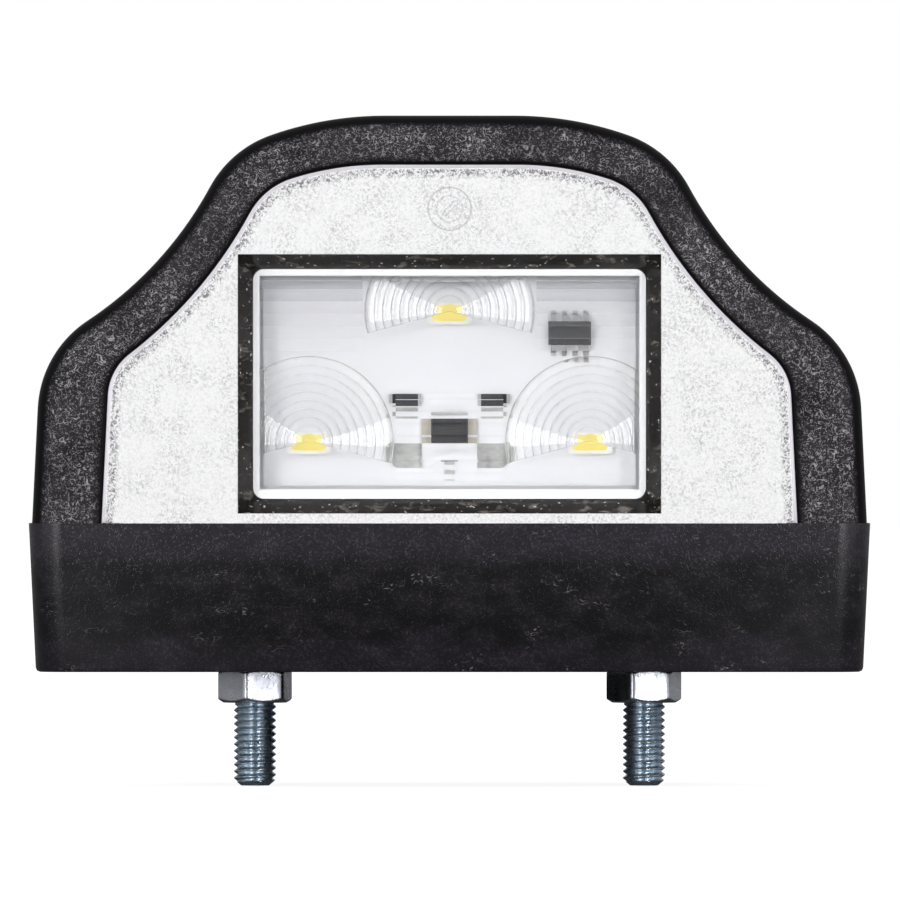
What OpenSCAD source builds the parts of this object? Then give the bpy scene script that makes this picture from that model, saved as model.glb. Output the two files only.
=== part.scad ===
// Number plate lamp with three light-emitting diodes, on two M5 studs.
// Millimetres, +Z up. The origin is the middle of the base's underside.
// The lens faces -Y and the studs point down.

/* [Base] */
// Width of the base at its top edge
base_w = 98.5; // [92:0.5:120]
// Depth of the base at its top edge
base_d = 48; // [44:0.5:70]
// Height of the base
base_h = 17.4; // [14:0.1:26]
// Draft of the base's walls, narrower at the foot, in degrees
base_draft = 2.7; // [0:0.1:4]
// Radius of the base's upright corners
base_corner_r = 4; // [3.2:0.1:8]
// Radius round the underside's edge
base_edge_r = 0.5; // [0.2:0.1:1]
// Wall of the base
base_wall = 2.8; // [2.6:0.1:4]
// Floor of the base
base_floor = 3; // [2:0.1:5]

/* [Hood] */
// Height of the hood above the base
hood_h = 47.7; // [44:0.1:70]
// How far the hood stands inside the base's edge
hood_inset = 0.4; // [0.2:0.1:1]
// Wall of the hood
hood_wall = 2.2; // [1.2:0.1:2.6]
// Thickness of the hood's front band
hood_front_t = 4.2; // [3.8:0.1:7]
// Radius round the front band's outer edge
hood_edge_r = 2.8; // [2.4:0.1:3.2]
// Depth of the hood before it falls to the rear
hood_level_d = 12; // [8:0.5:20]
// Roundness of the fall to the rear, 2 is an ellipse
hood_fall_power = 2.2; // [1.8:0.1:3]
// Draft of the hood's and the lens's sides, in degrees
side_draft = 2.8; // [1:0.1:5]
// Half the width of the hood's level top
crown_flat = 7.6; // [4:0.1:12]
// Radius of the crown
crown_r = 40; // [36:0.5:46]
// Turn of the crown, in degrees
crown_turn = 19.5; // [16:0.5:24]
// Radius of the shoulder
shoulder_r = 13; // [11:0.5:16]
// Turn of the shoulder, in degrees
shoulder_turn = 42; // [38:0.5:46]
// Turn of the hollow slope below the shoulder, in degrees
waist_turn = 28; // [22:0.5:32]
// Radius of the lower corner
corner_r = 13; // [10:0.5:16]

/* [Lens] */
// Width of the hood's band beside the lens, at its foot
band_w = 8.2; // [7:0.1:10]
// Height of the lens above the base
lens_h = 41.9; // [39:0.1:43]
// Thickness of the lens
lens_t = 3; // [2.2:0.1:3.4]
// How far the lens stands proud of the hood
lens_proud = 0.4; // [0.1:0.1:1]
// Width of the lens's bevelled rim
lens_bevel = 1.7; // [1:0.1:3]
// Gap round the lens in the hood
lens_gap = 0.1; // [0.05:0.05:0.3]
// Width of the lip that the lens rests on
lip_w = 0.6; // [0.4:0.1:0.9]
// Half the width of the lens's level top
lens_crown_flat = 7.9; // [5:0.1:11]
// Radius of the lens's crown
lens_crown_r = 35; // [31:0.5:40]
// Turn of the lens's crown, in degrees
lens_crown_turn = 17.5; // [14:0.5:22]
// Radius of the lens's shoulder
lens_shoulder_r = 8.5; // [7:0.5:12]
// Turn of the lens's shoulder, in degrees
lens_shoulder_turn = 44; // [40:0.5:48]
// Turn of the lens's hollow slope, in degrees
lens_waist_turn = 24; // [18:0.5:28]
// Radius of the lens's lower corner
lens_corner_r = 6.5; // [5:0.5:10]

/* [Window] */
// Width of the clear window
window_w = 49.5; // [48:0.1:56]
// Height of the clear window
window_h = 30.3; // [29:0.1:33]
// Height of the window's sill above the base
window_sill = 1.15; // [1:0.05:3]
// Depth of the polished pocket behind the window
window_pocket = 0.4; // [0.2:0.1:1]
// Radius of the mould's date ring above the window
date_ring_r = 2.6; // [2:0.1:3]
// Height of the date ring's middle above the window
date_ring_rise = 5.3; // [3.5:0.1:6]

/* [Lamp module] */
// Width of the tray's slope beside the module, seen from the front
slope_w = 1.75; // [1.25:0.05:2.5]
// Height of the tray's slope above and below the module, seen from the front
slope_h = 1.7; // [1.2:0.05:2.2]
// Depth of the module's frame
frame_d = 6; // [5.5:0.1:8]
// Radius of the frame's corners
frame_corner_r = 1.3; // [0.8:0.1:2.5]
// Side wall of the frame
frame_side_t = 0.7; // [0.5:0.05:1]
// Top wall of the frame
frame_top_t = 0.75; // [0.5:0.05:1]
// Bottom wall of the frame
frame_bottom_t = 1.05; // [0.5:0.05:1.5]
// How deep the frame lies behind the lens
frame_recess = 2.5; // [1:0.1:5]
// Clearance between pieces that slip into each other
slip = 0.1; // [0.05:0.05:0.2]
// Wall of the tray that holds the module
tray_wall = 1.6; // [1:0.1:2.5]
// Width of the tray's flange round the window
tray_flange = 2.5; // [2:0.1:4]

/* [Optic plate] */
// Thickness of the optic plate
optic_t = 1.4; // [1:0.1:2]
// How deep the optic plate lies in its frame
optic_recess = 0.45; // [0.4:0.05:1]
// Radius of a ring fan
fan_r = 10; // [6.5:0.1:11]
// Width of one ring
ring_pitch = 1; // [0.8:0.05:1.4]
// Radius of the flat disc inside the rings
fan_disc_r = 0.9; // [0.5:0.1:1.4]
// Height of a ring's tooth
ring_h = 0.35; // [0.1:0.05:0.4]
// How far each end of a fan drops below level, in degrees
fan_drop = 15; // [0:1:30]
// Width of one step in the plate's upper corners
step_pitch = 1.45; // [1:0.05:2]
// Number of steps in each upper corner
step_count = 6; // [3:1:8]
// Height of the first step
step_h = 0.3; // [0.1:0.05:0.4]
// Number of bars across the middle, between the fans
bar_count = 7; // [3:1:9]
// Height of a bar
bar_h = 0.2; // [0.1:0.05:0.4]
// Distance of the lowest bar above the foot of the frame's opening
bar_low = 1.1; // [0.5:0.1:2]

/* [Circuit board] */
// Thickness of the circuit board
board_t = 1; // [0.8:0.1:1.6]
// Distance of the two lower diodes from the sides of the frame's opening
led_side = 5.8; // [5:0.1:7]
// Distance of the two lower diodes above the foot of the frame's opening
led_low = 5.7; // [5:0.1:7.5]
// Distance of the upper diode below the top of the frame's opening
led_high = 4.2; // [3.5:0.1:6]
// Width of a light-emitting diode
led_w = 5.2; // [4:0.1:6]
// Height of a light-emitting diode
led_h = 3; // [2.5:0.1:3.4]
// Thickness of a light-emitting diode
led_t = 0.9; // [0.7:0.1:1.2]
// Width of the phosphor in a diode
phosphor_w = 4.1; // [3:0.1:4.2]
// Height of the phosphor in a diode
phosphor_h = 2.2; // [1.5:0.1:2.3]
// Depth of the phosphor
phosphor_t = 0.4; // [0.2:0.1:0.6]

/* [Studs and nuts] */
// Distance between the studs
stud_spacing = 46; // [40:0.5:60]
// Diameter of a stud
stud_d = 5; // [4:0.5:6]
// Length of a stud below the underside
stud_reach = 13.7; // [8:0.1:30]
// Width of a hexagon, across its flats
hex_flats = 8; // [8:0.5:9]
// Height of a stud's head
head_h = 3.5; // [2:0.1:4]
// Height of a nut
nut_h = 4; // [3:0.1:5]
// Depth of the seat that a nut is sunk into
nut_seat = 0.1; // [0.05:0.05:0.6]
// Diameter of the seat that a nut is sunk into
nut_seat_d = 11; // [10.6:0.1:14]

/* [Cable inlet] */
// Diameter of the cable that the grommet takes
cable_d = 5; // [4:0.5:6]
// Height of the grommet above the underside
grommet_z = 9.5; // [9:0.1:10]
// Diameter of the grommet's flanges
grommet_d = 10; // [9:0.5:11]
// Diameter of the hole that the grommet sits in
grommet_hole_d = 7.6; // [7:0.1:8]
// Thickness of each flange of the grommet
grommet_flange = 1.2; // [0.8:0.1:1.6]

/* [Hidden] */

// Faces of a full circle, and pieces that each arc of an outline is cut into
$fn = 64;
arc_steps = 6;

// Overlap that makes cuts run clear of the faces they open through
cut = 1;
// Overlap that joins the parts of one moulding
weld = 0.3;
// Thickness of the thin plates that a hull runs between
skin = 0.01;

// Outlines of the hood and of the lens, where each hollow slope fills the width that is left
hood_w = base_w - 2 * hood_inset;
lens_w = hood_w - 2 * band_w;
hood_arcs = fitted_arcs(hood_w / 2 - crown_flat, hood_h,
    [[crown_r, crown_turn], [shoulder_r, shoulder_turn]], waist_turn, corner_r);
lens_arcs = fitted_arcs(lens_w / 2 - lens_crown_flat, lens_h,
    [[lens_crown_r, lens_crown_turn], [lens_shoulder_r, lens_shoulder_turn]],
    lens_waist_turn, lens_corner_r);

// The lens's bevel ends in a rounded edge: its width, and where it starts in the proud part
lens_edge_w = 0.35;
lens_edge_share = 0.7;

// Places along Y, from the front
hood_front = -base_d / 2 + hood_inset;
hood_rear = -hood_front;
lens_front = hood_front - lens_proud;
lens_back = lens_front + lens_t;
frame_front = lens_back + frame_recess;
optic_front = frame_front + optic_recess;
optic_back = optic_front + optic_t;
tray_floor = frame_front + frame_d;
tray_back = tray_floor + tray_wall;
board_front = tray_floor - board_t;

// Places along Z
window_low = base_h + window_sill;
window_mid = window_low + window_h / 2;
window_high = window_low + window_h;
frame_w = window_w - 2 * slope_w;
frame_h = window_h - 2 * slope_h;
opening_w = frame_w - 2 * frame_side_t;
opening_h = frame_h - frame_top_t - frame_bottom_t;
opening_mid = window_mid + (frame_bottom_t - frame_top_t) / 2;
opening_low = opening_mid - opening_h / 2;
opening_high = opening_mid + opening_h / 2;

// Width and thickness of the frame's ledge behind the optic plate
ledge = 0.5;
// Lean of a tooth's steep side, and gap between a fan and the steps or bars beside it
tooth_lean = 0.05;
step_gap = 0.2;

// Grooves of the date ring, and its pointer
date_groove_w = 0.15;
date_groove_t = 0.1;
date_inner_r = 1.6;
tick_l = 0.5;
tick_count = 12;
pointer_w = 0.45;
pointer_l = 1.9;
pointer_turn = 45;

// Centres of the diodes, each with its fan of rings in front of it
led_x = opening_w / 2 - led_side;
led_places = [
    [-led_x, opening_low + led_low],
    [led_x, opening_low + led_low],
    [0, opening_high - led_high]
];
led_corner_r = 0.5;

// How much smaller a moulded body is at its face than at its middle
mould_taper = 0.3;

// Driver chip, in the module's upper right
chip_side = 8.2;
chip_drop = 6.6;
chip_x = opening_w / 2 - chip_side;
chip_z = opening_high - chip_drop;
chip_w = 5;
chip_h = 2.9;
chip_t = 1.5;
chip_lead_w = 0.6;
chip_lead_pitch = 1.27;
chip_lead_span = 5.6;
chip_lead_t = 0.2;
chip_lead_count = 4;
chip_lead_foot = 0.6;

// Protection diode in the middle, with a resistor and a solder joint on each side
diode_rise = 7.1;
diode_z = opening_low + diode_rise;
diode_w = 4.3;
diode_h = 2.8;
diode_t = 2;
terminal_w = 1.1;
terminal_h = 2.3;
terminal_t = 0.5;
resistor_x = 5.2;
resistor_rise = 10.7;
resistor_z = opening_low + resistor_rise;
resistor_w = 3;
resistor_h = 1.1;
resistor_t = 0.6;
resistor_cap_w = 0.4;
joint_x = 5;
joint_rise = 4.1;
joint_z = opening_low + joint_rise;
joint_w = 3.5;
joint_h = 3;
joint_t = 0.6;
joint_corner_r = 0.7;
joint_step = 0.3;
pad_t = 0.15;

// Contact pads: each row is [x, height above the opening's foot, width, height]
pads = [
    [-resistor_x, 8.9, 3, 0.5],
    [resistor_x, 8.9, 3, 0.5],
    [-resistor_x, 9.8, 3, 0.2],
    [resistor_x, 9.8, 3, 0.2],
    [0, 9.5, 4.3, 0.4],
    [0, 3.8, 1.2, 0.5],
    [0, 2.8, 2, 0.2],
    [0, 1.5, 1.2, 0.5]
];

// Wires pass through this slot in the tray's floor
wire_slot_w = 14;
wire_slot_h = 3;

// Studs: the part inside the nut and the floor is drawn at the thread's pitch radius
stud_r = stud_d / 2;
thread_half_h = 0.2;
thread_play = 0.05;
stud_pitch_r = stud_r - thread_half_h;
stud_chamfer = 0.5;
stud_play = 0.2;
stud_hole_r = stud_r + stud_play;
hex_corner_r = hex_flats / 2 / cos(30);
hex_chamfer = 0.6;

// Turn of the left and the right nut, in degrees, as they were left when they were run up
nut_turns = [-14, -19];

// Bosses round the studs' heads
boss_wall = 1.8;
boss_r = hex_corner_r + slip + boss_wall;

// Ribs of the base that carry the tray, and tabs that locate the hood
shelf_xs = [-20, -7, 7, 20];
shelf_t = 1.8;
shelf_stop_h = 6;
shelf_stop_t = 2;
tab_w = 7;
tab_t = 1.6;
tab_rise = 2.6;
tab_root = 8;
tab_gap = 0.2;
side_tab_y = 6;
rear_tab_x = 27;

// Grommet: its outer flange lies in a flat seat, because the wall is drafted
grommet_seat = 1;
grommet_seat_y = base_d / 2 - grommet_seat;
grommet_wall_y = base_d / 2 - base_wall;
grommet_chamfer = 0.4;

// Heading of an outline, in degrees below level, where its arc i starts
function heading(arcs, i) = i == 0 ? 0 : heading(arcs, i - 1) + arcs[i - 1][1];

// Way from the start of an arc to a share of it; inset shrinks a round and widens a hollow
function along(arc, start, share, inset = 0) =
    let (side = sign(arc[1]), r = arc[0] - side * inset, end = start + share * arc[1])
    side * r * [sin(end) - sin(start), cos(end) - cos(start)];

// Way from the start of the outline to the start of its arc i
function arc_start(arcs, i, inset = 0) =
    i == 0 ? [0, 0]
    : arc_start(arcs, i - 1, inset) + along(arcs[i - 1], heading(arcs, i - 1), 1, inset);

// Width that arcs and the drafted side below them take, outside the level top
function taken_width(h, arcs) =
    let (fall = arc_start(arcs, len(arcs)))
    fall[0] + (h + fall[1]) * tan(side_draft);

// Arcs of an outline, each [radius, turn]: round ones first, then a hollow of radius waist_r that
// turns back, then the lower corner
function arcs_with(waist_r, rounds, waist_turn, corner_r) =
    concat(rounds, [
        [waist_r, -waist_turn],
        [corner_r, 90 - side_draft - rounds[0][1] - rounds[1][1] + waist_turn]
    ]);

// The width taken grows evenly with the hollow's radius, so two tries give the radius that fits
function fitted_arcs(width, h, rounds, waist_turn, corner_r) =
    let (
        none = taken_width(h, arcs_with(0, rounds, waist_turn, corner_r)),
        one = taken_width(h, arcs_with(1, rounds, waist_turn, corner_r))
    )
    arcs_with((width - none) / (one - none), rounds, waist_turn, corner_r);

// Right half of an outline, from the end of its level top down to its foot at height 0
function half_outline(flat, h, arcs, inset) =
    let (
        start = [flat, h - inset],
        end = start + arc_start(arcs, len(arcs), inset)
    )
    concat(
        [for (i = [0:len(arcs) - 1], k = [0:arc_steps - 1])
            start + arc_start(arcs, i, inset)
            + along(arcs[i], heading(arcs, i), k / arc_steps, inset)],
        [end, [end[0] + end[1] * tan(side_draft), 0]]
    );

// Whole outline, from the left foot over the top to the right foot
function outline(flat, h, arcs, inset) =
    let (half = half_outline(flat, h, arcs, inset), n = len(half))
    concat([for (i = [n - 1:-1:0]) [-half[i][0], half[i][1]]], half);

function hood_outline(inset) = outline(crown_flat, hood_h, hood_arcs, inset);
function lens_outline(inset) = outline(lens_crown_flat, lens_h, lens_arcs, inset);

// A row of points: the outline at a depth, narrowed and lowered towards the base
function row(points, y, narrow = 1, lower = 1) =
    [for (p = points) [p[0] * narrow, y, base_h + p[1] * lower]];

// Triangles between two rows of n points
function strip(a, b, n) =
    [for (j = [0:n - 2], t = [0, 1])
        t == 0 ? [a * n + j, b * n + j, a * n + j + 1]
               : [a * n + j + 1, b * n + j, b * n + j + 1]];

// Triangles between two chains of points, where a point may repeat
function chain(a, b) =
    [for (i = [0:len(a) - 2], t = [0, 1])
        let (face = t == 0 ? [a[i], a[i + 1], b[i + 1]] : [a[i], b[i + 1], b[i]])
        if (t == 0 ? a[i] != a[i + 1] : b[i] != b[i + 1]) face];

function flipped(faces) = [for (f = faces) [f[2], f[1], f[0]]];

// The hood falls to the rear along a superellipse, and its plan turns the base's corner
fall_steps = 12;
function fall_y(a, inset) =
    let (start = hood_front + hood_level_d)
    start + (hood_rear - inset - start) * pow(sin(a), 2 / hood_fall_power);
function fall_z(a) = a == 90 ? 0 : pow(cos(a), 2 / hood_fall_power);
function plan_narrow(y, inset) =
    let (
        w = hood_w / 2 - inset,
        r = base_corner_r - hood_inset - inset,
        turn = y - (hood_rear - inset - r)
    )
    turn <= 0 ? 1 : (w - r + sqrt(max(0, r * r - turn * turn))) / w;
function fall_row(k, inset) =
    let (a = 90 * k / fall_steps, y = fall_y(a, inset))
    row(hood_outline(inset), y, plan_narrow(y, inset), fall_z(a));

// Skin of the hood: rebate, front band, rounded edge, fall, then back inside to the lip
edge_steps = 4;
rebate_y = lens_back;
hood_outer = concat(
    [row(lens_outline(-lens_gap), rebate_y), row(lens_outline(-lens_gap), hood_front)],
    [for (k = [0:edge_steps])
        let (a = 90 * k / edge_steps)
        row(hood_outline(hood_edge_r * (1 - sin(a))), hood_front + hood_edge_r * (1 - cos(a)))],
    [for (k = [0:fall_steps]) fall_row(k, 0)]
);
hood_inner = concat(
    [
        row(lens_outline(lip_w), rebate_y),
        row(lens_outline(lip_w), hood_front + hood_front_t),
        row(hood_outline(hood_wall), hood_front + hood_front_t)
    ],
    [for (k = [0:fall_steps]) fall_row(k, hood_wall)]
);

module hood_shell() {
    outer_n = len(hood_outer);
    inner_n = len(hood_inner);
    n = len(hood_outer[0]);
    rows = concat(hood_outer, hood_inner);
    edge_rows = outer_n - fall_steps - 1;
    // Rows that face each other across the foot, from the rebate to the rear
    foot_outer = concat([0, 0], [for (i = [0:outer_n - 1]) i]);
    foot_inner = concat([0, 1], [for (i = [0:edge_rows - 1]) 2], [for (i = [3:inner_n - 1]) i]);
    left_a = [for (i = foot_outer) i * n];
    left_b = [for (i = foot_inner) (outer_n + i) * n];
    right_a = [for (i = left_a) i + n - 1];
    right_b = [for (i = left_b) i + n - 1];
    polyhedron(
        points = [for (r = rows, p = r) p],
        faces = concat(
            [for (i = [0:outer_n - 2]) each strip(i, i + 1, n)],
            [for (i = [outer_n:outer_n + inner_n - 2]) each strip(i + 1, i, n)],
            strip(outer_n, 0, n),
            strip(outer_n - 1, outer_n + inner_n - 1, n),
            flipped(chain(left_a, left_b)),
            chain(right_a, right_b)
        )
    );
}

// Plate with the lens's outline: each row is [inset, y], from the front to the back
module lens_plate(levels) {
    rows = [for (l = levels) row(lens_outline(l[0]), l[1])];
    n = len(rows[0]);
    last = len(rows) - 1;
    cap = [for (j = [0:n / 2 - 2]) each [[j, j + 1, n - 1 - j], [j + 1, n - 2 - j, n - 1 - j]]];
    polyhedron(
        points = [for (r = rows, p = r) p],
        faces = concat(
            cap,
            [for (i = [0:last - 1]) each strip(i, i + 1, n)],
            [for (i = [0:last - 1]) each [
                [(i + 1) * n - 1, (i + 2) * n - 1, i * n],
                [i * n, (i + 2) * n - 1, (i + 1) * n]
            ]],
            flipped([for (f = cap) [for (i = f) i + last * n]])
        )
    );
}

// Rectangle with round corners, in the middle of its plane
module round_rect(w, h, r) {
    square([w - 2 * r, h], center = true);
    square([w, h - 2 * r], center = true);
    for (x = [-1, 1], y = [-1, 1])
        translate([x * (w / 2 - r), y * (h / 2 - r)]) circle(r);
}

// Upright slab of a round rectangle, from y_front to y_back, in the middle at x and z
module slab(w, h, r, y_front, y_back, x = 0, z = 0)
    translate([x, y_back, z]) rotate([90, 0, 0])
        linear_extrude(y_back - y_front) round_rect(w, h, r);

// Upright block with sharp corners, placed as slab is
module block(w, h, y_front, y_back, x = 0, z = 0)
    translate([x - w / 2, y_front, z - h / 2]) cube([w, y_back - y_front, h]);

// Hexagon with both its ends turned to a chamfer, standing on height 0
module hexagon(h)
    intersection() {
        cylinder(r = hex_corner_r, h = h, $fn = 6);
        rotate_extrude() polygon([
            [0, 0],
            [hex_corner_r - hex_chamfer, 0],
            [hex_corner_r, hex_chamfer * tan(30)],
            [hex_corner_r, h - hex_chamfer * tan(30)],
            [hex_corner_r - hex_chamfer, h],
            [0, h]
        ]);
    }

// Base: drafted tub with a flat floor
module base_level(z, inset)
    translate([0, 0, z]) linear_extrude(skin)
        round_rect(base_w - 2 * inset, base_d - 2 * inset, base_corner_r - inset / 2);

module base_outside() {
    foot_inset = base_h * tan(base_draft);
    edge_inset = foot_inset - base_edge_r * tan(base_draft);
    hull($fn = 40) {
        base_level(0, edge_inset + base_edge_r);
        base_level(base_edge_r * (1 - cos(45)), edge_inset + base_edge_r * (1 - sin(45)));
        base_level(base_edge_r, edge_inset);
        base_level(base_h - skin, 0);
    }
}

module base_cavity()
    translate([0, 0, base_floor]) linear_extrude(base_h)
        round_rect(base_w - 2 * base_wall, base_d - 2 * base_wall, base_corner_r - base_wall);

module shelf_ribs() {
    front = -base_d / 2 + base_wall - weld;
    for (x = shelf_xs) {
        translate([x - shelf_t / 2, front, base_floor - weld])
            cube([shelf_t, tray_back + shelf_stop_t - front, base_h - base_floor + weld]);
        translate([x - shelf_t / 2, tray_back, base_h - weld])
            cube([shelf_t, shelf_stop_t, shelf_stop_h + weld]);
    }
}

// Tabs stand on the cavity's walls and rise inside the hood
module hood_tabs() {
    inner = hood_inset + hood_wall + tab_gap;
    h = base_h + tab_rise - tab_root;
    for (side = [-1, 1]) {
        translate([side * (base_w / 2 - inner - tab_t / 2), side_tab_y, tab_root + h / 2])
            cube([tab_t, tab_w, h], center = true);
        translate([side * rear_tab_x, base_d / 2 - inner - tab_t / 2, tab_root + h / 2])
            cube([tab_w, tab_t, h], center = true);
    }
}

module base_housing()
    color("#232326") difference() {
        union() {
            difference() {
                base_outside();
                base_cavity();
            }
            shelf_ribs();
            hood_tabs();
            for (x = [-1, 1])
                translate([x * stud_spacing / 2, 0, base_floor - weld])
                    cylinder(r = boss_r, h = head_h + weld);
        }
        for (x = [-1, 1])
            translate([x * stud_spacing / 2, 0, 0]) {
                translate([0, 0, -cut]) cylinder(d = nut_seat_d, h = nut_seat + cut);
                translate([0, 0, -cut]) cylinder(r = stud_hole_r, h = base_h);
                translate([0, 0, base_floor])
                    cylinder(r = hex_corner_r + slip, h = base_h, $fn = 6);
            }
        translate([0, 0, grommet_z]) rotate([-90, 0, 0]) {
            cylinder(d = grommet_hole_d, h = base_d / 2 + cut);
            translate([0, 0, grommet_seat_y]) cylinder(d = grommet_d + 2 * slip, h = base_d);
        }
    }

module hood_cover()
    color("#1b1b1d") hood_shell();

// Date ring of the mould: two rings, ticks inside the outer one, and a pointer
module date_ring() {
    for (r = [date_ring_r, date_inner_r])
        difference() {
            circle(r);
            circle(r - date_groove_w);
        }
    for (i = [0:tick_count - 1])
        rotate(i * 360 / tick_count)
            translate([date_ring_r - tick_l, -date_groove_w / 2]) square([tick_l, date_groove_w]);
    rotate(pointer_turn) {
        translate([-pointer_l / 2, -pointer_w / 2]) square([pointer_l, pointer_w]);
        translate([pointer_l / 2, 0]) circle(pointer_w, $fn = 3);
    }
}

// Lens: rounded and bevelled rim, flat field, date ring, and a polished pocket behind the window
module lens_cover()
    color("#e8eaec") difference() {
        lens_plate([
            [lens_bevel, lens_front],
            [lens_edge_w, lens_front + lens_edge_share * lens_proud],
            [0, lens_front + lens_proud],
            [0, lens_back]
        ]);
        block(window_w, window_h, lens_back - window_pocket, lens_back + cut, 0, window_mid);
        translate([0, lens_front + date_groove_t, window_high + date_ring_rise])
            rotate([90, 0, 0]) linear_extrude(date_groove_t + cut) date_ring();
    }

// Block that stands on the base's height and is wider than the window by a margin
module round_window(margin, y_back) {
    h = window_high + margin - base_h;
    block(window_w + 2 * margin, h, lens_back, y_back, 0, base_h + h / 2);
}

// Tray: flange round the window, mitred slopes, and a pocket for the module
module module_tray() {
    pocket_w = frame_w + 2 * slip;
    pocket_h = frame_h + 2 * slip;
    color("#2b2826") difference() {
        intersection() {
            union() {
                round_window(tray_flange, lens_back + tray_wall);
                round_window(tray_wall, tray_back);
            }
            translate([0, tray_back, base_h]) rotate([90, 0, 0])
                linear_extrude(tray_back - lens_back) polygon(lens_outline(lip_w + slip));
        }
        hull() {
            block(window_w, window_h, lens_back - skin, lens_back, 0, window_mid);
            block(pocket_w, pocket_h, frame_front, frame_front + skin, 0, window_mid);
        }
        slab(pocket_w, pocket_h, frame_corner_r + slip, frame_front, tray_floor, 0, window_mid);
        block(wire_slot_w, wire_slot_h, tray_floor - cut, tray_back + cut, 0, joint_z);
    }
}

// Frame: white wall round the module, with a ledge behind the optic plate
module module_frame()
    color("#f2f3f5") difference() {
        slab(frame_w, frame_h, frame_corner_r, frame_front, tray_floor, 0, window_mid);
        block(opening_w - 2 * ledge, opening_h - 2 * ledge, frame_front - cut,
            tray_floor + cut, 0, opening_mid);
        block(opening_w, opening_h, frame_front - cut, optic_back, 0, opening_mid);
        block(opening_w, opening_h, optic_back + ledge, tray_floor + cut, 0, opening_mid);
    }

// Fan of prism rings, thicker outwards within each ring, open below the diode
module ring_fan(x, z) {
    ring_count = ceil((fan_r - fan_disc_r) / ring_pitch);
    edges = [for (i = [0:ring_count]) min(fan_disc_r + i * ring_pitch, fan_r)];
    translate([x, optic_front + weld, z]) rotate([90, 0, 0]) rotate([0, 0, -fan_drop])
        rotate_extrude(angle = 180 + 2 * fan_drop) polygon(concat(
            [[0, 0], [0, weld], [fan_disc_r, weld]],
            [for (i = [0:ring_count - 1], tip = [0, 1])
                [edges[i + tip] - tip * tooth_lean,
                    weld + tip * ring_h * (edges[i + 1] - edges[i])]],
            [[fan_r, weld], [fan_r, 0]]
        ));
}

// Steps across one upper corner, each lower than the one above it
module corner_steps(side, reach) {
    top = opening_high - slip;
    inner = fan_r + step_gap;
    for (i = [0:step_count - 1])
        translate([side > 0 ? inner : -reach, 0, top - i * step_pitch])
            rotate([90, 0, 90]) linear_extrude(reach - inner) polygon([
                [optic_front + weld, 0],
                [optic_front - step_h * (1 - i / step_count), 0],
                [optic_front, -step_pitch],
                [optic_front + weld, -step_pitch]
            ]);
}

// Bars across the middle, between the two lower fans
module centre_bars() {
    reach = led_x - fan_r - step_gap;
    for (i = [0:bar_count - 1])
        translate([-reach, 0, opening_low + bar_low + i * step_pitch])
            rotate([90, 0, 90]) linear_extrude(2 * reach) polygon([
                [optic_front + weld, 0],
                [optic_front, 0],
                [optic_front - bar_h, step_pitch / 2],
                [optic_front, step_pitch],
                [optic_front + weld, step_pitch]
            ]);
}

module optic_plate() {
    w = opening_w - 2 * slip;
    h = opening_h - 2 * slip;
    color("#dfe6ee") {
        block(w, h, optic_front, optic_back, 0, opening_mid);
        intersection() {
            union() {
                for (p = led_places) ring_fan(p[0], p[1]);
                for (side = [-1, 1]) corner_steps(side, w / 2);
                centre_bars();
            }
            block(w, h, frame_front, optic_back, 0, opening_mid);
        }
    }
}

module circuit_board()
    color("#f7f8f9")
        block(opening_w - 2 * slip, opening_h - 2 * slip, board_front, tray_floor, 0, opening_mid);

// Light-emitting diode with a pocket for its phosphor
module led(place)
    color("#f6f4ea") difference() {
        slab(led_w, led_h, led_corner_r, board_front - led_t, board_front, place[0], place[1]);
        slab(phosphor_w, phosphor_h, led_corner_r, board_front - led_t - cut,
            board_front - led_t + phosphor_t, place[0], place[1]);
    }

module phosphor(place)
    color("#ffe04a")
        slab(phosphor_w, phosphor_h, led_corner_r, board_front - led_t,
            board_front - led_t + phosphor_t, place[0], place[1]);

module led_left() led(led_places[0]);
module led_right() led(led_places[1]);
module led_top() led(led_places[2]);
module phosphor_left() phosphor(led_places[0]);
module phosphor_right() phosphor(led_places[1]);
module phosphor_top() phosphor(led_places[2]);

// Driver chip: drafted body and gull-wing leads above and below it
module driver_chip()
    color("#2c2c30") translate([chip_x, board_front, chip_z]) rotate([90, 0, 0])
        hull()
            for (level = [[0, mould_taper], [chip_t / 2, 0], [chip_t - skin, mould_taper]])
                translate([0, 0, level[0]]) linear_extrude(skin)
                    square([chip_w - level[1], chip_h - level[1]], center = true);

module driver_chip_leads() {
    reach = chip_lead_span / 2;
    neck = chip_t / 2;
    color("#b9b4a6")
        for (i = [0:chip_lead_count - 1], side = [0, 180])
            translate([chip_x + (i - (chip_lead_count - 1) / 2) * chip_lead_pitch,
                board_front, chip_z])
                rotate([0, side, 0]) rotate([90, 0, 90])
                    translate([0, 0, -chip_lead_w / 2]) linear_extrude(chip_lead_w) polygon([
                        [0, reach],
                        [0, reach - chip_lead_foot],
                        [-neck + chip_lead_t / 2, reach - chip_lead_foot - chip_lead_t],
                        [-neck + chip_lead_t / 2, chip_h / 2],
                        [-neck - chip_lead_t / 2, chip_h / 2],
                        [-neck - chip_lead_t / 2, reach - chip_lead_foot],
                        [-chip_lead_t, reach - chip_lead_foot + chip_lead_t],
                        [-chip_lead_t, reach]
                    ]);
}

module diode()
    color("#2a2629") translate([0, board_front, diode_z]) rotate([90, 0, 0])
        hull()
            for (level = [[0, 0], [diode_t - skin, mould_taper]])
                translate([0, 0, level[0]]) linear_extrude(skin)
                    square([diode_w - level[1], diode_h - level[1]], center = true);

module diode_terminals()
    color("#c9b78c")
        for (side = [-1, 1])
            block(terminal_w, terminal_h, board_front - terminal_t, board_front,
                side * (diode_w + terminal_w) / 2, diode_z);

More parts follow.
